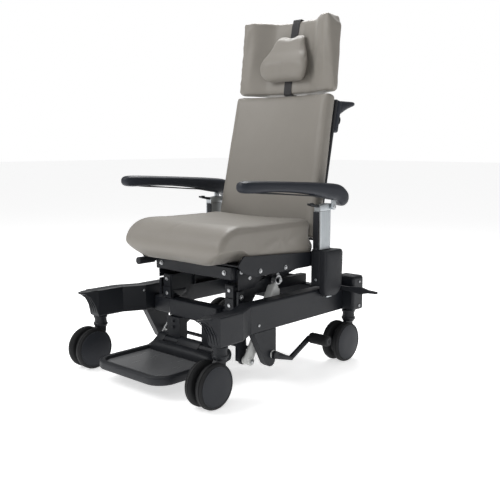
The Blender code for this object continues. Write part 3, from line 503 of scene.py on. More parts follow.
pale = pale_moulding()
drive_foot, drive_pin = Vector((0.222, -0.071, 0.07)), Vector((0.222, 0.081, 0.3383))
drive_axis = (drive_pin - drive_foot).normalized()
drive_cross = Vector((0, drive_axis.z, -drive_axis.y))
drive_turn = Matrix((Vector((1, 0, 0)), drive_cross, drive_axis)).transposed().to_4x4()
drive_place = Matrix.Translation(wheelbase + drive_foot) @ drive_turn
tube = turned([(-0.014, 0), (-0.014, 0.015), (-0.01, 0.0172), (0.148, 0.0172), (0.1485, 0.0185), (0.153, 0.0185),
               (0.1535, 0)], (0, 0, 1), 48)
joined(tube, turned([(-0.0185, 0), (-0.0185, 0.013), (-0.0165, 0.015), (0.0165, 0.015), (0.0185, 0.013), (0.0185, 0)],
                    (1, 0, 0), 40))
settle("actuator_tube", tube, pale, "actuator_body", at=drive_place, stands_for="actuator_body")
gearbox = lofted([[(a, 0.0063 + shift + b, up) for a, b in soft_ring(across, deep, 5, 40)]
                  for up, across, deep, shift in (
                      (0.2086, 0.0178, 0.024, 0), (0.2096, 0.019, 0.0254, 0), (0.24, 0.019, 0.0254, 0),
                      (0.266, 0.0186, 0.0225, -0.003), (0.278, 0.0178, 0.019, -0.006),
                      (0.2815, 0.016, 0.017, -0.0063), (0.2825, 0.013, 0.014, -0.0063))])
wiper = turned([(0.282, 0.0107), (0.282, 0.015), (0.286, 0.0146), (0.2885, 0.0125), (0.2885, 0.0107),
                (0.282, 0.0107)], (0, 0, 1), 40)
case = joined(block((-0.0188, 0.0188), (-0.0188, 0.0315), (0.151, 0.208), 0.0055, 4), gearbox, wiper)
settle("actuator_case", case, pale, "actuator_body", at=drive_place)
pot = turned([(0.162, 0), (0.162, 0.015), (0.165, 0.0175), (0.23, 0.0175), (0.233, 0.016), (0.236, 0.008),
              (0.238, 0)], (0, 0, 1), 40)
motor = joined(moved(pot, (0, 0.0495, 0)), block((-0.012, 0.012), (0.03, 0.04), (0.17, 0.226), 0.002))
settle("actuator_motor", motor, black, "actuator_body", at=drive_place)
screws = joined(*(socket_screw(spot, (1, 0, 0), 0.003, 0.0016) for spot in (
    (0.019, -0.011, 0.216), (0.0189, 0.024, 0.216), (0.0189, 0.024, 0.24), (0.0189, -0.011, 0.24),
    (0.0189, 0.024, 0.16), (0.0189, -0.011, 0.16))))
settle("actuator_screws", screws, zinc, "actuator_body", at=drive_place)
dress("actuator_rod", zinc, 0)
dress("actuator_bracket", coat, 0.0009)
clevis = hex_bolt(drive_pin + Vector((0.019, 0, 0)), (1, 0, 0), 0.01, 0.0022)
settle("actuator_clevis_bolt", clevis, zinc, "outer_arms")
anchor = hex_bolt(drive_foot + Vector((0.0198, 0, 0)), (1, 0, 0), 0.011, 0.004)
settle("actuator_foot_bolt", anchor, zinc, "chassis")


# ---- Footplate ----
# One injection-moulded black tray with a thick rolled rim, a smooth recessed floor, and a hump across
# its rear that turns on the hanger pins. It folds up towards the seat.
def floor_polish():
    """Smooth dark floor of the tray, polished by shoes along its middle."""
    finish = Finish("footplate_floor", (0.045, 0.048, 0.052), 0.22)
    rub = finish.noise(9, 5, finish.stretched((1, 0.5, 1)))
    scratch = finish.steps(finish.noise(210, 3, finish.stretched((1, 0.05, 1), (0, 0, 0.4))), 0.66, 0.74)
    dull = scratch * 0.4 + finish.steps(rub, 0.3, 0.8) * 0.2
    return finish.set(Base_Color=finish.blend(dull, (0.13, 0.133, 0.138), (0.2, 0.205, 0.21)),
                      Roughness=0.16 + rub * 0.16 + scratch * 0.2, Normal=finish.bump(scratch, 0.00004)).material


def result(cover):
    """The mesh that an object's modifiers give."""
    return bpy.data.meshes.new_from_object(cover.evaluated_get(bpy.context.evaluated_depsgraph_get()))


def worked(bm, kind, **settings):
    """Run one modifier over a bmesh and hand back the result."""
    mesh = bpy.data.meshes.new("cover")
    bm.to_mesh(mesh)
    bm.free()
    cover = stood("cover", mesh)
    step = cover.modifiers.new("step", kind)
    for name, value in settings.items():
        setattr(step, name, value)
    bpy.context.view_layer.update()
    done = result(cover)
    bm = bmesh.new()
    bm.from_mesh(done)
    bpy.data.objects.remove(cover)
    bpy.data.meshes.remove(mesh)
    bpy.data.meshes.remove(done)
    return bm


def subdivided(bm, levels=1):
    """The form with its faces split and smoothed."""
    return worked(bm, "SUBSURF", levels=levels, render_levels=levels)


def round_tray(inset, z):
    """The tray's outline drawn in by inset, at height z, with wide front corners and tighter rear ones."""
    left, right, front, rear = -tray_half + inset, tray_half - inset, tray_nose + inset, tray_heel - inset
    big, small = max(0.066 - inset, 0.004), max(0.034 - inset, 0.003)
    corners = ((left + big, front + big, big, 180, 14), (right - big, front + big, big, 270, 14),
               (right - small, rear - small, small, 0, 8), (left + small, rear - small, small, 90, 8))
    return [(x, y, z) for across, deep, r, start, steps in corners
            for x, y in bend((across, deep), r, start, start + 90, steps)]


def rod(start, stop, radius, tip, steps):
    """A round rod between two points; tip lists how each end runs on beyond its point."""
    run = stop - start
    profile = [(-past, r) for past, r in tip] + [(0, radius), (run.length, radius)] + \
        [(run.length + past, r) for past, r in reversed(tip)]
    return moved(turned(profile, run, steps), start)


foot_low, foot_high = (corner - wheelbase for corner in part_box("footplate"))
tray_half, tray_nose, tray_heel = foot_high.x, foot_low.y, -0.1635
tray = lofted([round_tray(*ring) for ring in (
    (0.015, 0.059), (0.014, 0.051), (0.006, 0.0504), (0.0025, 0.0514), (0.0006, 0.0545), (0, 0.06), (0, 0.072),
    (0.0008, 0.076), (0.003, 0.0788), (0.0062, 0.0799), (0.0072, 0.0786), (0.0084, 0.0788), (0.0094, 0.08),
    (0.0165, 0.0798), (0.019, 0.0791), (0.0206, 0.077), (0.0222, 0.0705), (0.024, 0.0686), (0.029, 0.0682))])
settle("footplate_tray", tray, black, "footplate", 38, stands_for="footplate")
floor = lofted([round_tray(*ring) for ring in ((0.025, 0.067), (0.025, 0.0688), (0.0256, 0.0693), (0.03, 0.0694))])
settle("footplate_floor", floor, floor_polish(), "footplate")
hinge_y, hinge_z, hump_r = -0.13, 0.09, 0.028
barrel = bend((hinge_y, hinge_z), hump_r - 0.0006, -42, 130, 26) + [
    (tray_heel + a, z) for a, z in ((0.012, 0.104), (0.001, 0.096), (-0.01, 0.0885), (-0.024, 0.0835), (-0.034, 0.08),
                                    (-0.01, 0.056))]
hump = joined(*(plate(barrel, start, stop, bevel=0.0028, steps=3)
                for start, stop in ((-0.0572, 0.0572), (0.1288, 0.1745), (-0.1745, -0.1288))))
settle("footplate_hump", hump, black, "footplate", 32)
cowl_r = 0.0235
cowl = lofted([[(x, -0.185 + a, 0.08 + lift + b) for a, b in soft_ring(cowl_r * thick, cowl_r * thick, 2.4, 28)]
               for x, thick, lift in (
                   (-0.164, 0.2, -0.004), (-0.161, 0.55, -0.003), (-0.153, 0.82, -0.001), (-0.135, 0.96, 0),
                   (-0.08, 1, 0.001), (0, 1, 0.002), (0.08, 1, 0.001), (0.135, 0.96, 0), (0.153, 0.82, -0.001),
                   (0.161, 0.55, -0.003), (0.164, 0.2, -0.004))])
settle("footplate_cowl", subdivided(cowl), black, "footplate", 70)
for hand, side in hands:
    dress("footplate_hanger_" + hand, coat, 0.0012)
    pins = joined(eyelet((side * 0.1746, hinge_y, hinge_z), (side, 0, 0), 0, 0.014, 0.004),
                  *(hex_bolt((side * 0.093, -0.138, z), ahead, 0.01, 0.004) for z in (0.15, 0.172)))
    settle("footplate_pins_" + hand, pins, black, "chassis")
    stay = rod(Vector((side * 0.115, -0.13, 0.188)), Vector((side * 0.17, -0.123, 0.118)), 0.0036,
               ((0.004, 0), (0.004, 0.003)), 20)
    settle("footplate_stay_" + hand, stay, zinc, "chassis")


# ---- Brake bar ----
# A cross shaft turns in pale bushes in two drop brackets and locks all four castors. Each end has a
# cranked arm with a ribbed rubber foot pad, closed by a ring.
shaft_y, shaft_z = -0.022, 0.098
for hand, side in hands:
    dress("brake_bracket_" + hand, coat, 0.0015)
    foot = "brake_pad_" + hand
    low, high = (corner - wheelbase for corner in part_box(foot))
    middle = (low + high) / 2
    long, r = high.x - low.x, (high.z - low.z) / 2
    ribbed = [(0, 0), (0, r * 0.86), (0.0015, r * 0.94)]
    for i in range(11):
        start = 0.004 + i * (long - 0.012) / 11
        ribbed += [(start, r * 0.94), (start + 0.0008, r), (start + 0.0042, r), (start + 0.005, r * 0.94)]
    ribbed += [(long - 0.006, r * 0.94), (long - 0.003, r * 0.92), (long - 0.0012, r * 0.8), (long - 0.001, 0)]
    grip = turned([(side * (a - long / 2), b) for a, b in ribbed], (1, 0, 0), 40)
    settle(foot + "_grip", moved(grip, middle), rubber, "brake", 25, stands_for=foot)
    ring = turned([(side * (long / 2 - a), b) for a, b in (
        (0.0022, 0.007), (0.0008, 0.007), (0, 0.0085), (0, 0.0115), (0.001, 0.0128), (0.0022, 0.0128),
        (0.0022, 0.007))], (1, 0, 0), 40)
    settle(foot + "_ring", moved(ring, middle), black, "brake")
    bush = joined(eyelet((side * 0.2962, shaft_y, shaft_z), (side, 0, 0), 0.0076, 0.015, 0.002),
                  eyelet((side * 0.2678, shaft_y, shaft_z), (-side, 0, 0), 0.0076, 0.013, 0.003))
    settle("brake_bush_" + hand, bush, pale, "chassis")
    hub = eyelet((side * 0.3101, shaft_y, shaft_z), (side, 0, 0), 0, 0.0125, 0.003)
    settle("brake_hub_" + hand, hub, black, "brake")
    knee = [Vector((side * 0.3045, y, z)) for y, z in ((shaft_y, shaft_z), (0.064, 0.0662), (0.174, 0.121))]
    crank = joined(*(rod(start, stop, 0.0084, ((0.008, 0), (0.006, 0.006)), 24)
                     for start, stop in zip(knee, knee[1:])))
    settle("brake_crank_" + hand, crank, coat, "brake", 50)
dress("brake_shaft", coat, 0.0012)


# ---- Side lever ----
# A flat black hand lever that stands out from the left beam just ahead of the rear castor box.
dress("side_lever", black, 0.0022)
collar = eyelet((0.3001, 0.361, 0.28), (1, 0, 0), 0.011, 0.0165, 0.005)
settle("side_lever_collar", collar, black, "chassis")


# ---- Seat pan ----
# A folded steel pan that tilts on the lift carriage, with deep side skirts and a round tube end under
# its far front corner. Zinc bolts hold the skirts.
dress("seat_pan", coat, 0.0012)
tube = turned([(-0.0375, 0), (-0.0375, 0.011), (-0.036, 0.0135), (0.0375, 0.0135), (0.0375, 0)], (0, 1, 0), 36)
settle("seat_tube_end", moved(tube, (-0.214, -0.163, 0.393)), black, "seat")
for hand, side in hands:
    bolts = joined(hex_bolt((side * 0.2565, 0.09, 0.386), (side, 0, 0), 0.01, 0.0042),
                   hex_bolt((side * 0.2565, -0.045, 0.39), (side, 0, 0), 0.01, 0.0042),
                   socket_screw((side * 0.2595, 0.305, 0.43), (side, 0, 0), 0.009, 0.003))
    settle("seat_skirt_bolts_" + hand, bolts, zinc, "seat")
    gusset = plate([(-0.03, 0.402), (0.09, 0.402), (0.07, 0.378), (-0.01, 0.378)], side * 0.244, side * 0.248,
                   bevel=0.0012)
    settle("seat_gusset_" + hand, gusset, coat, "seat")


# ---- Seat cushion ----
# Moulded foam in a sewn cover of warm grey healthcare vinyl. Its nose rolls over the front of the
# pan, its lower front corners are cut away, and a flat side panel is sewn in along each edge.
def care_vinyl():
    """Warm grey coated fabric: a fine leather grain, a low sheen, and slight clouding from use."""
    finish = Finish("care_vinyl", (0.245, 0.225, 0.2), 0.5, Sheen_Weight=0.1, Specular_IOR_Level=0.45,
                    Coat_Weight=0.18, Coat_Roughness=0.34)
    pebble = finish.cells(520)
    crease = finish.noise(900, 3)
    cloud = finish.noise(7, 4)
    rub = finish.steps(finish.noise(19, 5, rough=0.6), 0.48, 0.76)
    return finish.set(Base_Color=finish.blend(cloud * 0.7 + rub * 0.3, (0.216, 0.199, 0.174), (0.25, 0.232, 0.205)),
                      Roughness=0.43 + rub * 0.1 + pebble * 0.16,
                      Normal=finish.bump(crease, 0.00006, under=finish.bump(pebble, 0.00018, 0.8))).material


vinyl = care_vinyl()
seat_place = Matrix.Translation(wheelbase)


def cover_of(node, place):
    """A copy of a cushion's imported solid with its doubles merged, in the frame that it is shaped in."""
    bm = bmesh.new()
    bm.from_mesh(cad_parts[node].data)
    bmesh.ops.remove_doubles(bm, verts=bm.verts, dist=1e-5)
    bm.transform(place.inverted())
    return bm


def eased(bm, passes, draw_in=0.0):
    """Round the edges of an even mesh by smoothing, and draw it in along its normals."""
    for _ in range(passes):
        bmesh.ops.smooth_vert(bm, verts=bm.verts, factor=0.5, use_axis_x=True, use_axis_y=True, use_axis_z=True)
    bm.normal_update()
    for vert in bm.verts:
        vert.co -= vert.normal * draw_in
    return bm


def filled(bm, swell):
    """Blow the cover up with Cloth under its filling's pressure, and hold each point to a small move."""
    mesh = bpy.data.meshes.new("cover")
    bm.to_mesh(mesh)
    cover = stood("cover", mesh)
    cloth = cover.modifiers.new("fill", "CLOTH")
    cloth.settings.use_pressure = True
    cloth.settings.uniform_pressure_force = 4
    cloth.settings.effector_weights.gravity = 0
    cloth.settings.quality = 4
    first, last = 1, 20
    cloth.point_cache.frame_start = first
    cloth.point_cache.frame_end = last
    for moment in range(first, last + 1):
        bpy.context.scene.frame_set(moment)
    blown = result(cover)
    bm.verts.ensure_lookup_table()
    for vert, now in zip(bm.verts, blown.vertices):
        move = now.co - vert.co
        vert.co += move if move.length < swell else move.normalized() * swell
    bpy.data.objects.remove(cover)
    bpy.data.meshes.remove(mesh)
    bpy.data.meshes.remove(blown)
    bpy.context.scene.frame_set(first)
    return bm


def sewn(bm, seams, deep, wide):
    """Press sewn seams into the cover; each seam gives a point's distance from it."""
    bm.normal_update()
    for vert in bm.verts:
        near = min(seam(vert.co) for seam in seams)
        if near < wide * 3:
            vert.co -= vert.normal * deep * 2.718 ** -((near / wide) ** 2)
    return bm


def evened(bm, voxel):
    """The form again in even cells, so that the filling spreads evenly."""
    return worked(bm, "REMESH", mode="VOXEL", voxel_size=voxel)


def upholster(name, bm, body, node, at=None):
    """Put a finished cover in place of its solid."""
    cushion = settle(name, bm, vinyl, body, 80, at=at, stands_for=node)


def within(value):
    """Hold a share between 0 and 1."""
    return max(0, min(1, value))


def seat_rim(point):
    """How far a point of the seat lies inside its side outline."""
    y, z = point.y, point.z
    if y < -0.14:
        return (1 - sqrt(((y + 0.14) / 0.1) ** 2 + (max(z - 0.468, 0) / 0.078) ** 2)) * 0.085
    return 0.546 - z


def seat_cutaway(bm):
    """Round off the lower front corners, carry the lower rear back, and hollow the sitting surface a little."""
    for vert in bm.verts:
        x, y, z = vert.co
        front, rise = within((-0.06 - y) / 0.06), max(0, (abs(x) - 0.142) / 0.108)
        vert.co.z = max(z, 0.416 + 0.056 * rise ** 1.6 * front)
        if y > 0.222 and z < 0.464:
            vert.co.y += 0.036 * min(1, (y - 0.222) / 0.012)
        inside = max(0, 1 - (x / 0.225) ** 2) * within((z - 0.5) / 0.04)
        vert.co.z -= 0.005 * inside * within((y + 0.15) / 0.12)
    return bm


panel_x, far_off = 0.238, 1
bm = seat_cutaway(evened(cover_of("seat_cushion", seat_place), 0.0062))
bm = eased(filled(eased(bm, 14, -0.0022), 0.004), 3)
bm = sewn(bm, [lambda p: abs(seat_rim(p) - 0.013) if abs(p.x) > panel_x else far_off,
               lambda p: abs(p.z - 0.433) if abs(p.x) > panel_x and p.y > -0.1 else far_off], 0.0022, 0.0045)
upholster("seat_cover", subdivided(bm), "seat", "seat_cushion")


# ---- Arm covers and posts ----
# A two-part moulded housing on each side of the seat hides the post's height clamp. The post is an
# anodised aluminium extrusion with fine ribs; the black strip down its front face is painted shade, standing for the
# shadow between the post and the backrest.
def anodised():
    """Silver anodised extrusion with draw lines along its length."""
    finish = Finish("anodised", (0.5, 0.53, 0.55), 0.34, 0.92)
    lines = finish.noise(700, 2, finish.stretched((1, 1, 0.012)))
    smudge = finish.steps(finish.noise(30, 4), 0.5, 0.75)
    return finish.set(Base_Color=finish.blend(lines, (0.43, 0.46, 0.48), (0.6, 0.63, 0.65)),
                      Roughness=0.27 + lines * 0.12 + smudge * 0.1, Normal=finish.bump(lines, 0.00004)).material


silver = anodised()
pivot_y, pivot_z = 0.306, 0.592
for hand, side in hands:
    outline = [(0.23, 0.435), (0.23, 0.285), (0.234, 0.2735), (0.244, 0.2655)]
    outline += bend((0.288, 0.31), 0.048, 265, 352, 8) + [(0.34, 0.375)] + bend((0.328, 0.423), 0.012, 0, 90, 4)
    mid_y, mid_z = 0.285, 0.35
    shell = lofted([[(side * x, mid_y + (y - mid_y) * (1 - inset / 0.055), mid_z + (z - mid_z) * (1 - inset / 0.085))
                     for y, z in outline]
                    for inset, x in ((0, 0.3035), (0, 0.3225), (0.001, 0.3265), (0.0032, 0.3292), (0.007, 0.3308),
                                     (0.015, 0.3324), (0.028, 0.3334), (0.042, 0.3338))])
    settle("arm_cover_shell_" + hand, shell, black, "seat", 50, stands_for="arm_cover_" + hand)
    inner = joined(block((side * 0.262, side * 0.3028), (0.2305, 0.339), (0.3005, 0.433), 0.004, 3),
                   block((side * 0.2645, side * 0.3015), (0.233, 0.301), (0.432, 0.4372), 0.0016, 2),
                   block((side * 0.2572, side * 0.264), (0.262, 0.318), (0.38, 0.402), 0.001, 2))
    settle("arm_cover_box_" + hand, inner, black, "seat")
    clip = joined(block((side * 0.3035, side * 0.319), (0.256, 0.286), (0.2585, 0.266), 0.0015),
                  socket_screw((side * 0.286, 0.23, 0.325), ahead, 0.005, 0.0026))
    settle("arm_cover_clip_" + hand, clip, silver, "seat")
    knob = turned([(0.4365, 0), (0.4365, 0.007), (0.44, 0.0085), (0.444, 0.008), (0.4455, 0.0055), (0.4458, 0)],
                  (0, 0, 1), 28)
    settle("arm_cover_knob_" + hand, moved(knob, (side * 0.284, 0.233, 0)), black, "seat")
    section = [(0.269, 0.236), (0.274, 0.236), (0.274, 0.2385), (0.294, 0.2385), (0.294, 0.236), (0.299, 0.236),
               (0.3, 0.237)]
    for y in (0.2415 + i * 0.0062 for i in range(9)):
        section += [(0.3, y), (0.3, y + 0.004), (0.299, y + 0.0046), (0.299, y + 0.0058)]
    section += [(0.3, 0.297), (0.299, 0.298), (0.269, 0.298), (0.268, 0.297), (0.268, 0.237)]
    ear = [(0.2362, 0.577), (0.2978, 0.577), (0.302, 0.58)] + bend((pivot_y, pivot_z), 0.0122, -50, 90, 8) + \
        [(0.292, 0.6055), (0.2362, 0.6)]
    post = joined(plate([(side * x, y) for x, y in section], 0.313, 0.578, axis=2),
                  plate(ear, side * 0.27, side * 0.2985, bevel=0.001))
    settle("arm_post_rail_" + hand, post, silver, "seat", stands_for="arm_post_" + hand)
    # Painted shade: a black strip down the post's front face stands for the shadow there, beside the backrest; a thin
    # black cap sits on the post's top.
    shade_strip_and_cap = joined(block((side * 0.2672, side * 0.2925), (0.2338, 0.2372), (0.438, 0.5765), 0.001),
                   block((side * 0.27, side * 0.2985), (0.2362, 0.2975), (0.5772, 0.5796), 0.0006))
    settle("arm_post_shade_strip_and_cap_" + hand, shade_strip_and_cap, black, "seat")
    pivot = joined(socket_screw((side * 0.3105, pivot_y, pivot_z), (side, 0, 0), 0.0085, 0.003),
                   eyelet((side * 0.268, pivot_y, pivot_z), (-side, 0, 0), 0, 0.008, 0.0025))
    settle("arm_pivot_bolt_" + hand, pivot, zinc, "armrest_" + hand)
    fork = plate([(0.294, 0.618)] + bend((pivot_y, pivot_z), 0.0115, 180, 360, 12) + [(0.318, 0.618)],
                 side * 0.3026, side * 0.3104, bevel=0.001)
    settle("arm_fork_" + hand, fork, silver, "armrest_" + hand)


# ---- Armrests ----
# Each arm is one slim moulding in soft black foam skin over a steel core, arched along its underside
# above a thin rail, with a deep curl behind the post pivot. It flips up when the front lever is pressed.
def foam_skin():
    """Integral-skin foam: navy black, fine grained, rubbed smoother along the top."""
    finish = Finish("foam_skin", (0.022, 0.026, 0.038), 0.5, Specular_IOR_Level=0.32)
    grain = finish.cells(800)
    rub = finish.steps(finish.noise(24, 5, finish.stretched((1, 0.4, 1))), 0.46, 0.72)
    return finish.set(Base_Color=finish.blend(rub * 0.6, (0.013, 0.016, 0.024), (0.02, 0.023, 0.031)),
                      Roughness=0.38 + rub * 0.12 + grain * 0.1, Normal=finish.bump(grain, 0.0001)).material


skin = foam_skin()
stations = [(-0.1955, 0.678, 0.692, 0.01), (-0.192, 0.671, 0.698, 0.017), (-0.184, 0.666, 0.7025, 0.0225),
            (-0.17, 0.6635, 0.7045, 0.0255), (-0.14, 0.662, 0.704, 0.0265), (-0.1, 0.6605, 0.7025, 0.0265),
            (-0.05, 0.6565, 0.7, 0.0265), (0.0, 0.6525, 0.6975, 0.0265), (0.05, 0.648, 0.6948, 0.0265),
            (0.1, 0.6435, 0.692, 0.0265), (0.15, 0.6395, 0.6892, 0.0265), (0.2, 0.6355, 0.6865, 0.0265),
            (0.25, 0.626, 0.683, 0.0265), (0.29, 0.618, 0.68, 0.0265), (0.32, 0.6165, 0.677, 0.0265),
            (0.338, 0.602, 0.673, 0.0265), (0.352, 0.592, 0.668, 0.0265), (0.368, 0.59, 0.66, 0.026),
            (0.38, 0.597, 0.65, 0.024), (0.388, 0.607, 0.64, 0.019), (0.3915, 0.617, 0.63, 0.011)]
arm_x = 0.2985
for hand, side in hands:
    rings = []
    for y, low_z, high_z, wide in stations:
        arch = 0.0088 * sin(pi * (y + 0.135) / 0.385) if -0.135 < y < 0.25 else 0
        middle, up = (low_z + arch + high_z) / 2, (high_z - low_z - arch) / 2
        squareness = 3.2 if -0.18 < y < 0.36 else 2.6
        rings.append([(side * arm_x + a, y, middle + b) for a, b in soft_ring(wide, up, squareness)])
    settle("armrest_pad_" + hand, subdivided(lofted(rings)), skin, "armrest_" + hand, 75,
           stands_for="armrest_" + hand)
    rail = plate([(-0.15, 0.665), (-0.1, 0.6595), (0, 0.652), (0.1, 0.643), (0.2, 0.635), (0.262, 0.624),
                  (0.262, 0.629), (0.2, 0.6398), (0.1, 0.648), (0, 0.657), (-0.1, 0.6645), (-0.14, 0.669)],
                 side * 0.2835, side * 0.3135, bevel=0.001)
    settle("armrest_rail_" + hand, rail, black, "armrest_" + hand)
    blade = plate([(0.235, 0.5925), (0.235, 0.6035), (0.218, 0.605), (0.2, 0.6085), (0.1885, 0.61), (0.1862, 0.607),
                   (0.188, 0.603), (0.202, 0.599), (0.218, 0.5955)], side * 0.2745, side * 0.2935, bevel=0.0022,
                  steps=3)
    joined(blade, block((side * 0.2775, side * 0.2905), (0.199, 0.209), (0.605, 0.6105), 0.0012))
    settle("arm_release_lever_" + hand, blade, black, "arm_release_" + hand, 35, stands_for="arm_release_" + hand)


# ---- Backrest ----
# A moulded shell that reclines on two lugs, with a hollowed foam cushion hooked on its front. The cover
# is cut as a front panel and two side panels, sewn along the front corners.
lean = radians(11.4)
lean_place = Matrix.Translation(wheelbase + Vector((0, 0.305, 0.43))) @ Matrix.Rotation(-lean, 4, "X")
dress("back_shell", black, 0.002)


def back_half(h):
    return 0.26 - 0.018 * (h - 0.03) / 0.56


front_seam, crown = 0.06, 0.02
bm = evened(cover_of("back_cushion", lean_place), 0.0065)
bm = eased(filled(eased(bm, 12, 0.0008), 0.004), 4)
bm = sewn(bm, [lambda p: sqrt((abs(p.x) - back_half(p.z) + 0.003) ** 2 + (p.y + front_seam) ** 2),
               lambda p: sqrt((p.z - 0.587) ** 2 + (p.y + front_seam - crown * (1 - (p.x / 0.25) ** 2)) ** 2)],
          0.0022, 0.0042)
upholster("back_cover", subdivided(bm), "backrest", "back_cushion", at=lean_place)
for hand, side in hands:
    lug = socket_screw((side * 0.2596, 0, 0), (side, 0, 0), 0.0085, 0.0016)
    settle("back_lug_cap_" + hand, lug, zinc, "backrest", at=lean_place)


# ---- Push handles ----
# A long moulded plate on each edge of the shell with a horn-shaped grip that curls back and up, and
# a looped lever beneath it that unlocks the recline.
def along(x, spine, power, count, closed=False):
    """Rounded sections square to a curve of (d, h, half across, half thick), lofted."""
    rings, last = [], len(spine) - 1
    for i, (d, h, across, thick) in enumerate(spine):
        before, after = (spine[i - 1], spine[(i + 1) % (last + 1)]) if closed else \
            (spine[max(i - 1, 0)], spine[min(i + 1, last)])
        run = Vector((0, after[0] - before[0], after[1] - before[1])).normalized()
        up = Vector((0, -run.z, run.y))
        rings.append([Vector((x + a, d, h)) + up * b for a, b in soft_ring(across, thick, power, count)])
    return lofted(rings, closed)


for hand, side in hands:
    horn = along(side * 0.22, [
        (0.012, 0.54, 0.012, 0.026), (0.028, 0.5445, 0.0135, 0.0285), (0.05, 0.556, 0.0135, 0.0222),
        (0.075, 0.5665, 0.0132, 0.016), (0.098, 0.575, 0.0126, 0.012), (0.115, 0.5808, 0.0112, 0.0098),
        (0.126, 0.5842, 0.0085, 0.0072), (0.1305, 0.5856, 0.004, 0.0038)], 2.3, 28)
    long_plate = block((side * 0.2045, side * 0.2375), (0.003, 0.033), (0.448, 0.5715), 0.0095, 4)
    handle = joined(long_plate, subdivided(horn))
    settle("push_handle_grip_" + hand, handle, skin, "backrest", 40, at=lean_place, stands_for="push_handle_" + hand)
    screw = socket_screw((side * 0.221, 0.0328, 0.46), (0, 1, 0), 0.005, 0.0024)
    settle("push_handle_screw_" + hand, screw, zinc, "backrest", at=lean_place)
    loop = along(side * 0.211, [(d, h, 0.0095, 0.003) for d, h in (
        (0.036, 0.515), (0.048, 0.5165), (0.056, 0.513), (0.058, 0.501), (0.0545, 0.489), (0.045, 0.486),
        (0.037, 0.49), (0.036, 0.502))], 2.8, 16, closed=True)
    settle("handle_release_loop_" + hand, subdivided(loop, 2), black, "handle_release_" + hand, 60, at=lean_place,
           stands_for="handle_release_" + hand)


# ---- Headrest ----
# A winged foam pad in the same vinyl on a steel plate and two stays. Its centre is hollowed for the
# head, and its corners are sewn round.
dress("headrest_stay", coat, 0.0008)


pad_low, pad_tall = 0.5935, 0.3045


def wing_half(h):
    return 0.25 - 0.035 * (h - pad_low) / pad_tall


def wing_corners(bm):
    """Bring the four corners of the pad onto a round, seen from the front, tightest at the wings' tips."""
    for vert in bm.verts:
        x, d, h = vert.co
        reach = wing_half(h) * (1 + 0.1 * within((d + 0.05) / 0.06))
        crest = 0.898 + min(0, d + 0.018) * 0.2016
        tip = 0.013 + 0.021 * within((d + 0.1) / 0.045)
        for edge_h, way, r in ((crest, 1, tip), (pad_low, -1, 0.028)):
            past_x, past_h = abs(x) - (reach - r), (h - (edge_h - way * r)) * way
            far = sqrt(past_x ** 2 + past_h ** 2)
            if past_x > 0 and past_h > 0 and far > r:
                vert.co.x = (reach - r + past_x * r / far) * (1 if x > 0 else -1)
                vert.co.z = edge_h - way * r + way * past_h * r / far
    return bm


def wing_bolsters(bm):
    """Deepen the hollow for the head and fatten the two wings beside it."""
    for vert in bm.verts:
        x, d, h = vert.co
        u = min(1, abs(x) / wing_half(h))
        wing = -0.032 - 0.055 * (h - pad_low) / pad_tall
        front, rear = -0.018 + wing * u * u, 0.03 + (wing + 0.004) * max(0, u - 0.5) * 2
        share = within((rear - d) / max(rear - front, 0.02))
        t = within((u - 0.4) / 0.42)
        vert.co.y += 0.6 * share * wing * (t * t * (3 - 2 * t) - u * u)
    return bm


def pad_seam(p):
    """Distance from the seam that runs round the pad's side, above and below the pillow."""
    if p.y > -0.1 and abs(p.z - 0.746) > 0.142:
        return abs(p.y + 0.018 - 0.03 + 0.075 * (p.x / 0.25) ** 2)
    return far_off


voxel = 0.0055
bm = evened(wing_corners(evened(cover_of("headrest_pad", lean_place), voxel)), voxel)
bm = eased(filled(eased(wing_bolsters(bm), 8, 0.0008), 0.0026), 6)
bm = subdivided(sewn(bm, [pad_seam], 0.0018, 0.004))
head_tree = BVHTree.FromBMesh(bm)
upholster("headrest_cover", bm, "headrest", "headrest_pad", at=lean_place)


# ---- Neck pillow and its strap ----
# A small vinyl pillow, thick along the nape and thin towards its top, threaded on one loop of flat
# black webbing that runs round the headrest.
def webbing():
    """Black polyester webbing: ribs across and a herringbone of threads."""
    finish = Finish("webbing", (0.016, 0.016, 0.018), 0.72, Sheen_Weight=0.15)
    ribs, twill = (finish.node("ShaderNodeTexWave", {"bands_direction": way}, {
        "Vector": finish.place, "Scale": scale, "Distortion": waver}) for way, scale, waver in (
            ("Z", 190, 0.6), ("DIAGONAL", 330, 0.3)))
    return finish.set(Base_Color=finish.blend(ribs * 0.5 + twill * 0.5, (0.01, 0.01, 0.012), (0.03, 0.029, 0.03)),
                      Roughness=0.62 + ribs * 0.18, Normal=finish.bump(ribs * 0.6 + twill * 0.4, 0.00022)).material


strap_low, strap_high, turn_in, inset = 0.5915, 0.9, 0.004, 0.0014
front_line, rear_line = [], []
for i in range(25):
    h = strap_low + 0.004 + (strap_high - strap_low - 0.008) * i / 24
    front, rear = (head_tree.ray_cast(Vector((0, -0.2 * way, h)), Vector((0, way, 0)))[0] for way in (1, -1))
    front_line.append((max((front.y if front else -0.018) - 0.0014, -0.0235), h))
    rear_line.append((min((rear.y if rear else 0.018) + 0.001, 0.0306), h))
over = [(front_line[-1][0] + turn_in, strap_high - inset), (rear_line[-1][0] - turn_in, strap_high - inset)]
under = [(rear_line[0][0] - turn_in, strap_low + inset), (front_line[0][0] + turn_in, strap_low + inset)]
strap_line = front_line + over + rear_line[::-1] + under
band = bmesh.new()
rims = []
for x in (-0.0185, 0.0185):
    verts = [band.verts.new((x, d, h)) for d, h in strap_line]
    rims += [band.edges.new(pair) for pair in zip(verts, verts[1:] + verts[:1])]
bmesh.ops.bridge_loops(band, edges=rims)
bmesh.ops.recalc_face_normals(band, faces=band.faces)
settle("pillow_webbing", worked(band, "SOLIDIFY", thickness=0.0013, offset=1), webbing(), "headrest", 40,
       at=lean_place, bevel=0.0004, stands_for="pillow_strap")
rings = []
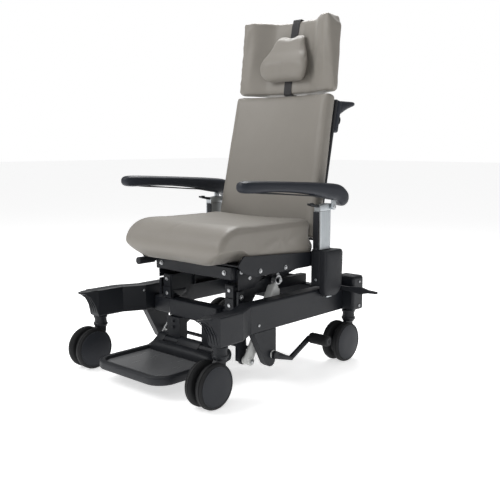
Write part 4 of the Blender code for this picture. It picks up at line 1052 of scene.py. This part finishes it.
for t, wide, front, rear in ((0, 0.088, 0.014, 0.004), (0.04, 0.101, 0.03, 0), (0.12, 0.113, 0.047, 0),
                             (0.24, 0.119, 0.055, 0), (0.36, 0.119, 0.055, 0), (0.48, 0.11, 0.048, 0),
                             (0.6, 0.098, 0.039, 0), (0.72, 0.087, 0.033, 0), (0.84, 0.078, 0.028, 0),
                             (0.93, 0.072, 0.022, 0), (1, 0.06, 0.012, 0.003)):
    h, middle, deep = 0.64 + 0.192 * t, -0.0262 - (front + rear) / 2, (front - rear) / 2
    rings.append([(a, middle + b - 0.016 * (a / 0.12) ** 2, h) for a, b in soft_ring(wide, deep, 3, 40)])
bm = eased(filled(eased(evened(lofted(rings), 0.0045), 3, 0.0006), 0.003), 7)
for vert in bm.verts:
    vert.co.y = min(vert.co.y, -0.0252)
    across = abs(vert.co.x) / 0.02
    if vert.co.z > 0.815 and across < 1.4:
        vert.co.z -= 0.0075 * max(0, 1 - across ** 2 / 2)
bm = sewn(bm, [lambda p: abs(abs(p.x) - 0.112 + 0.2 * max(0, p.z - 0.7)) if p.y < -0.04 else far_off], 0.0014, 0.0034)
upholster("neck_pillow_cover", subdivided(bm), "headrest", "neck_pillow", at=lean_place)


# ---- Studio ----
# A plain white paper floor that meets a white surround, and three large soft lights.
# The floor glows a little, so that it stays as pale as the surround behind it.
ground = bmesh.new()
bmesh.ops.create_grid(ground, x_segments=1, y_segments=1, size=30)
mesh = bpy.data.meshes.new("studio_floor")
ground.to_mesh(mesh)
ground.free()
paper = Finish("studio_paper", (0.93, 0.93, 0.935), 0.7, Emission_Color=(1, 1, 1, 1), Emission_Strength=0.6)
speck = paper.noise(3, 3)
mesh.materials.append(paper.set(Base_Color=paper.blend(speck, (0.925, 0.925, 0.93), (0.94, 0.94, 0.94))).material)
ground = stood("studio_floor", mesh)
world = bpy.data.worlds.new("studio")
world.use_nodes = True
surround = world.node_tree.nodes["Background"]
surround.inputs["Color"].default_value = (1, 1, 1, 1)
seen = world.node_tree.nodes.new("ShaderNodeLightPath")
glow = world.node_tree.nodes.new("ShaderNodeMapRange")
glow.inputs["To Min"].default_value = 0.36
glow.inputs["To Max"].default_value = 1.0
world.node_tree.links.new(seen.outputs["Is Camera Ray"], glow.inputs["Value"])
world.node_tree.links.new(glow.outputs["Result"], surround.inputs["Strength"])
bpy.context.scene.world = world
bpy.context.scene.view_settings.view_transform = "Standard"
middle = wheelbase + Vector((0, 0, 0.5))
for name, spot, size, power in (("key", (-1.6, -2.6, 2.9), 1.9, 62), ("fill", (2.6, -2.2, 2.6), 1.6, 14),
                                ("top", (-0.7, 1.1, 2.7), 1.5, 62)):
    light = bpy.data.lights.new("studio_" + name, "AREA")
    light.shape = "SQUARE"
    light.size = size
    light.energy = power
    lamp = stood("studio_" + name, light)
    spot = Vector(spot) + wheelbase
    lamp.matrix_world = Matrix.Translation(spot) @ (middle - spot).to_track_quat("-Z", "Y").to_matrix().to_4x4()
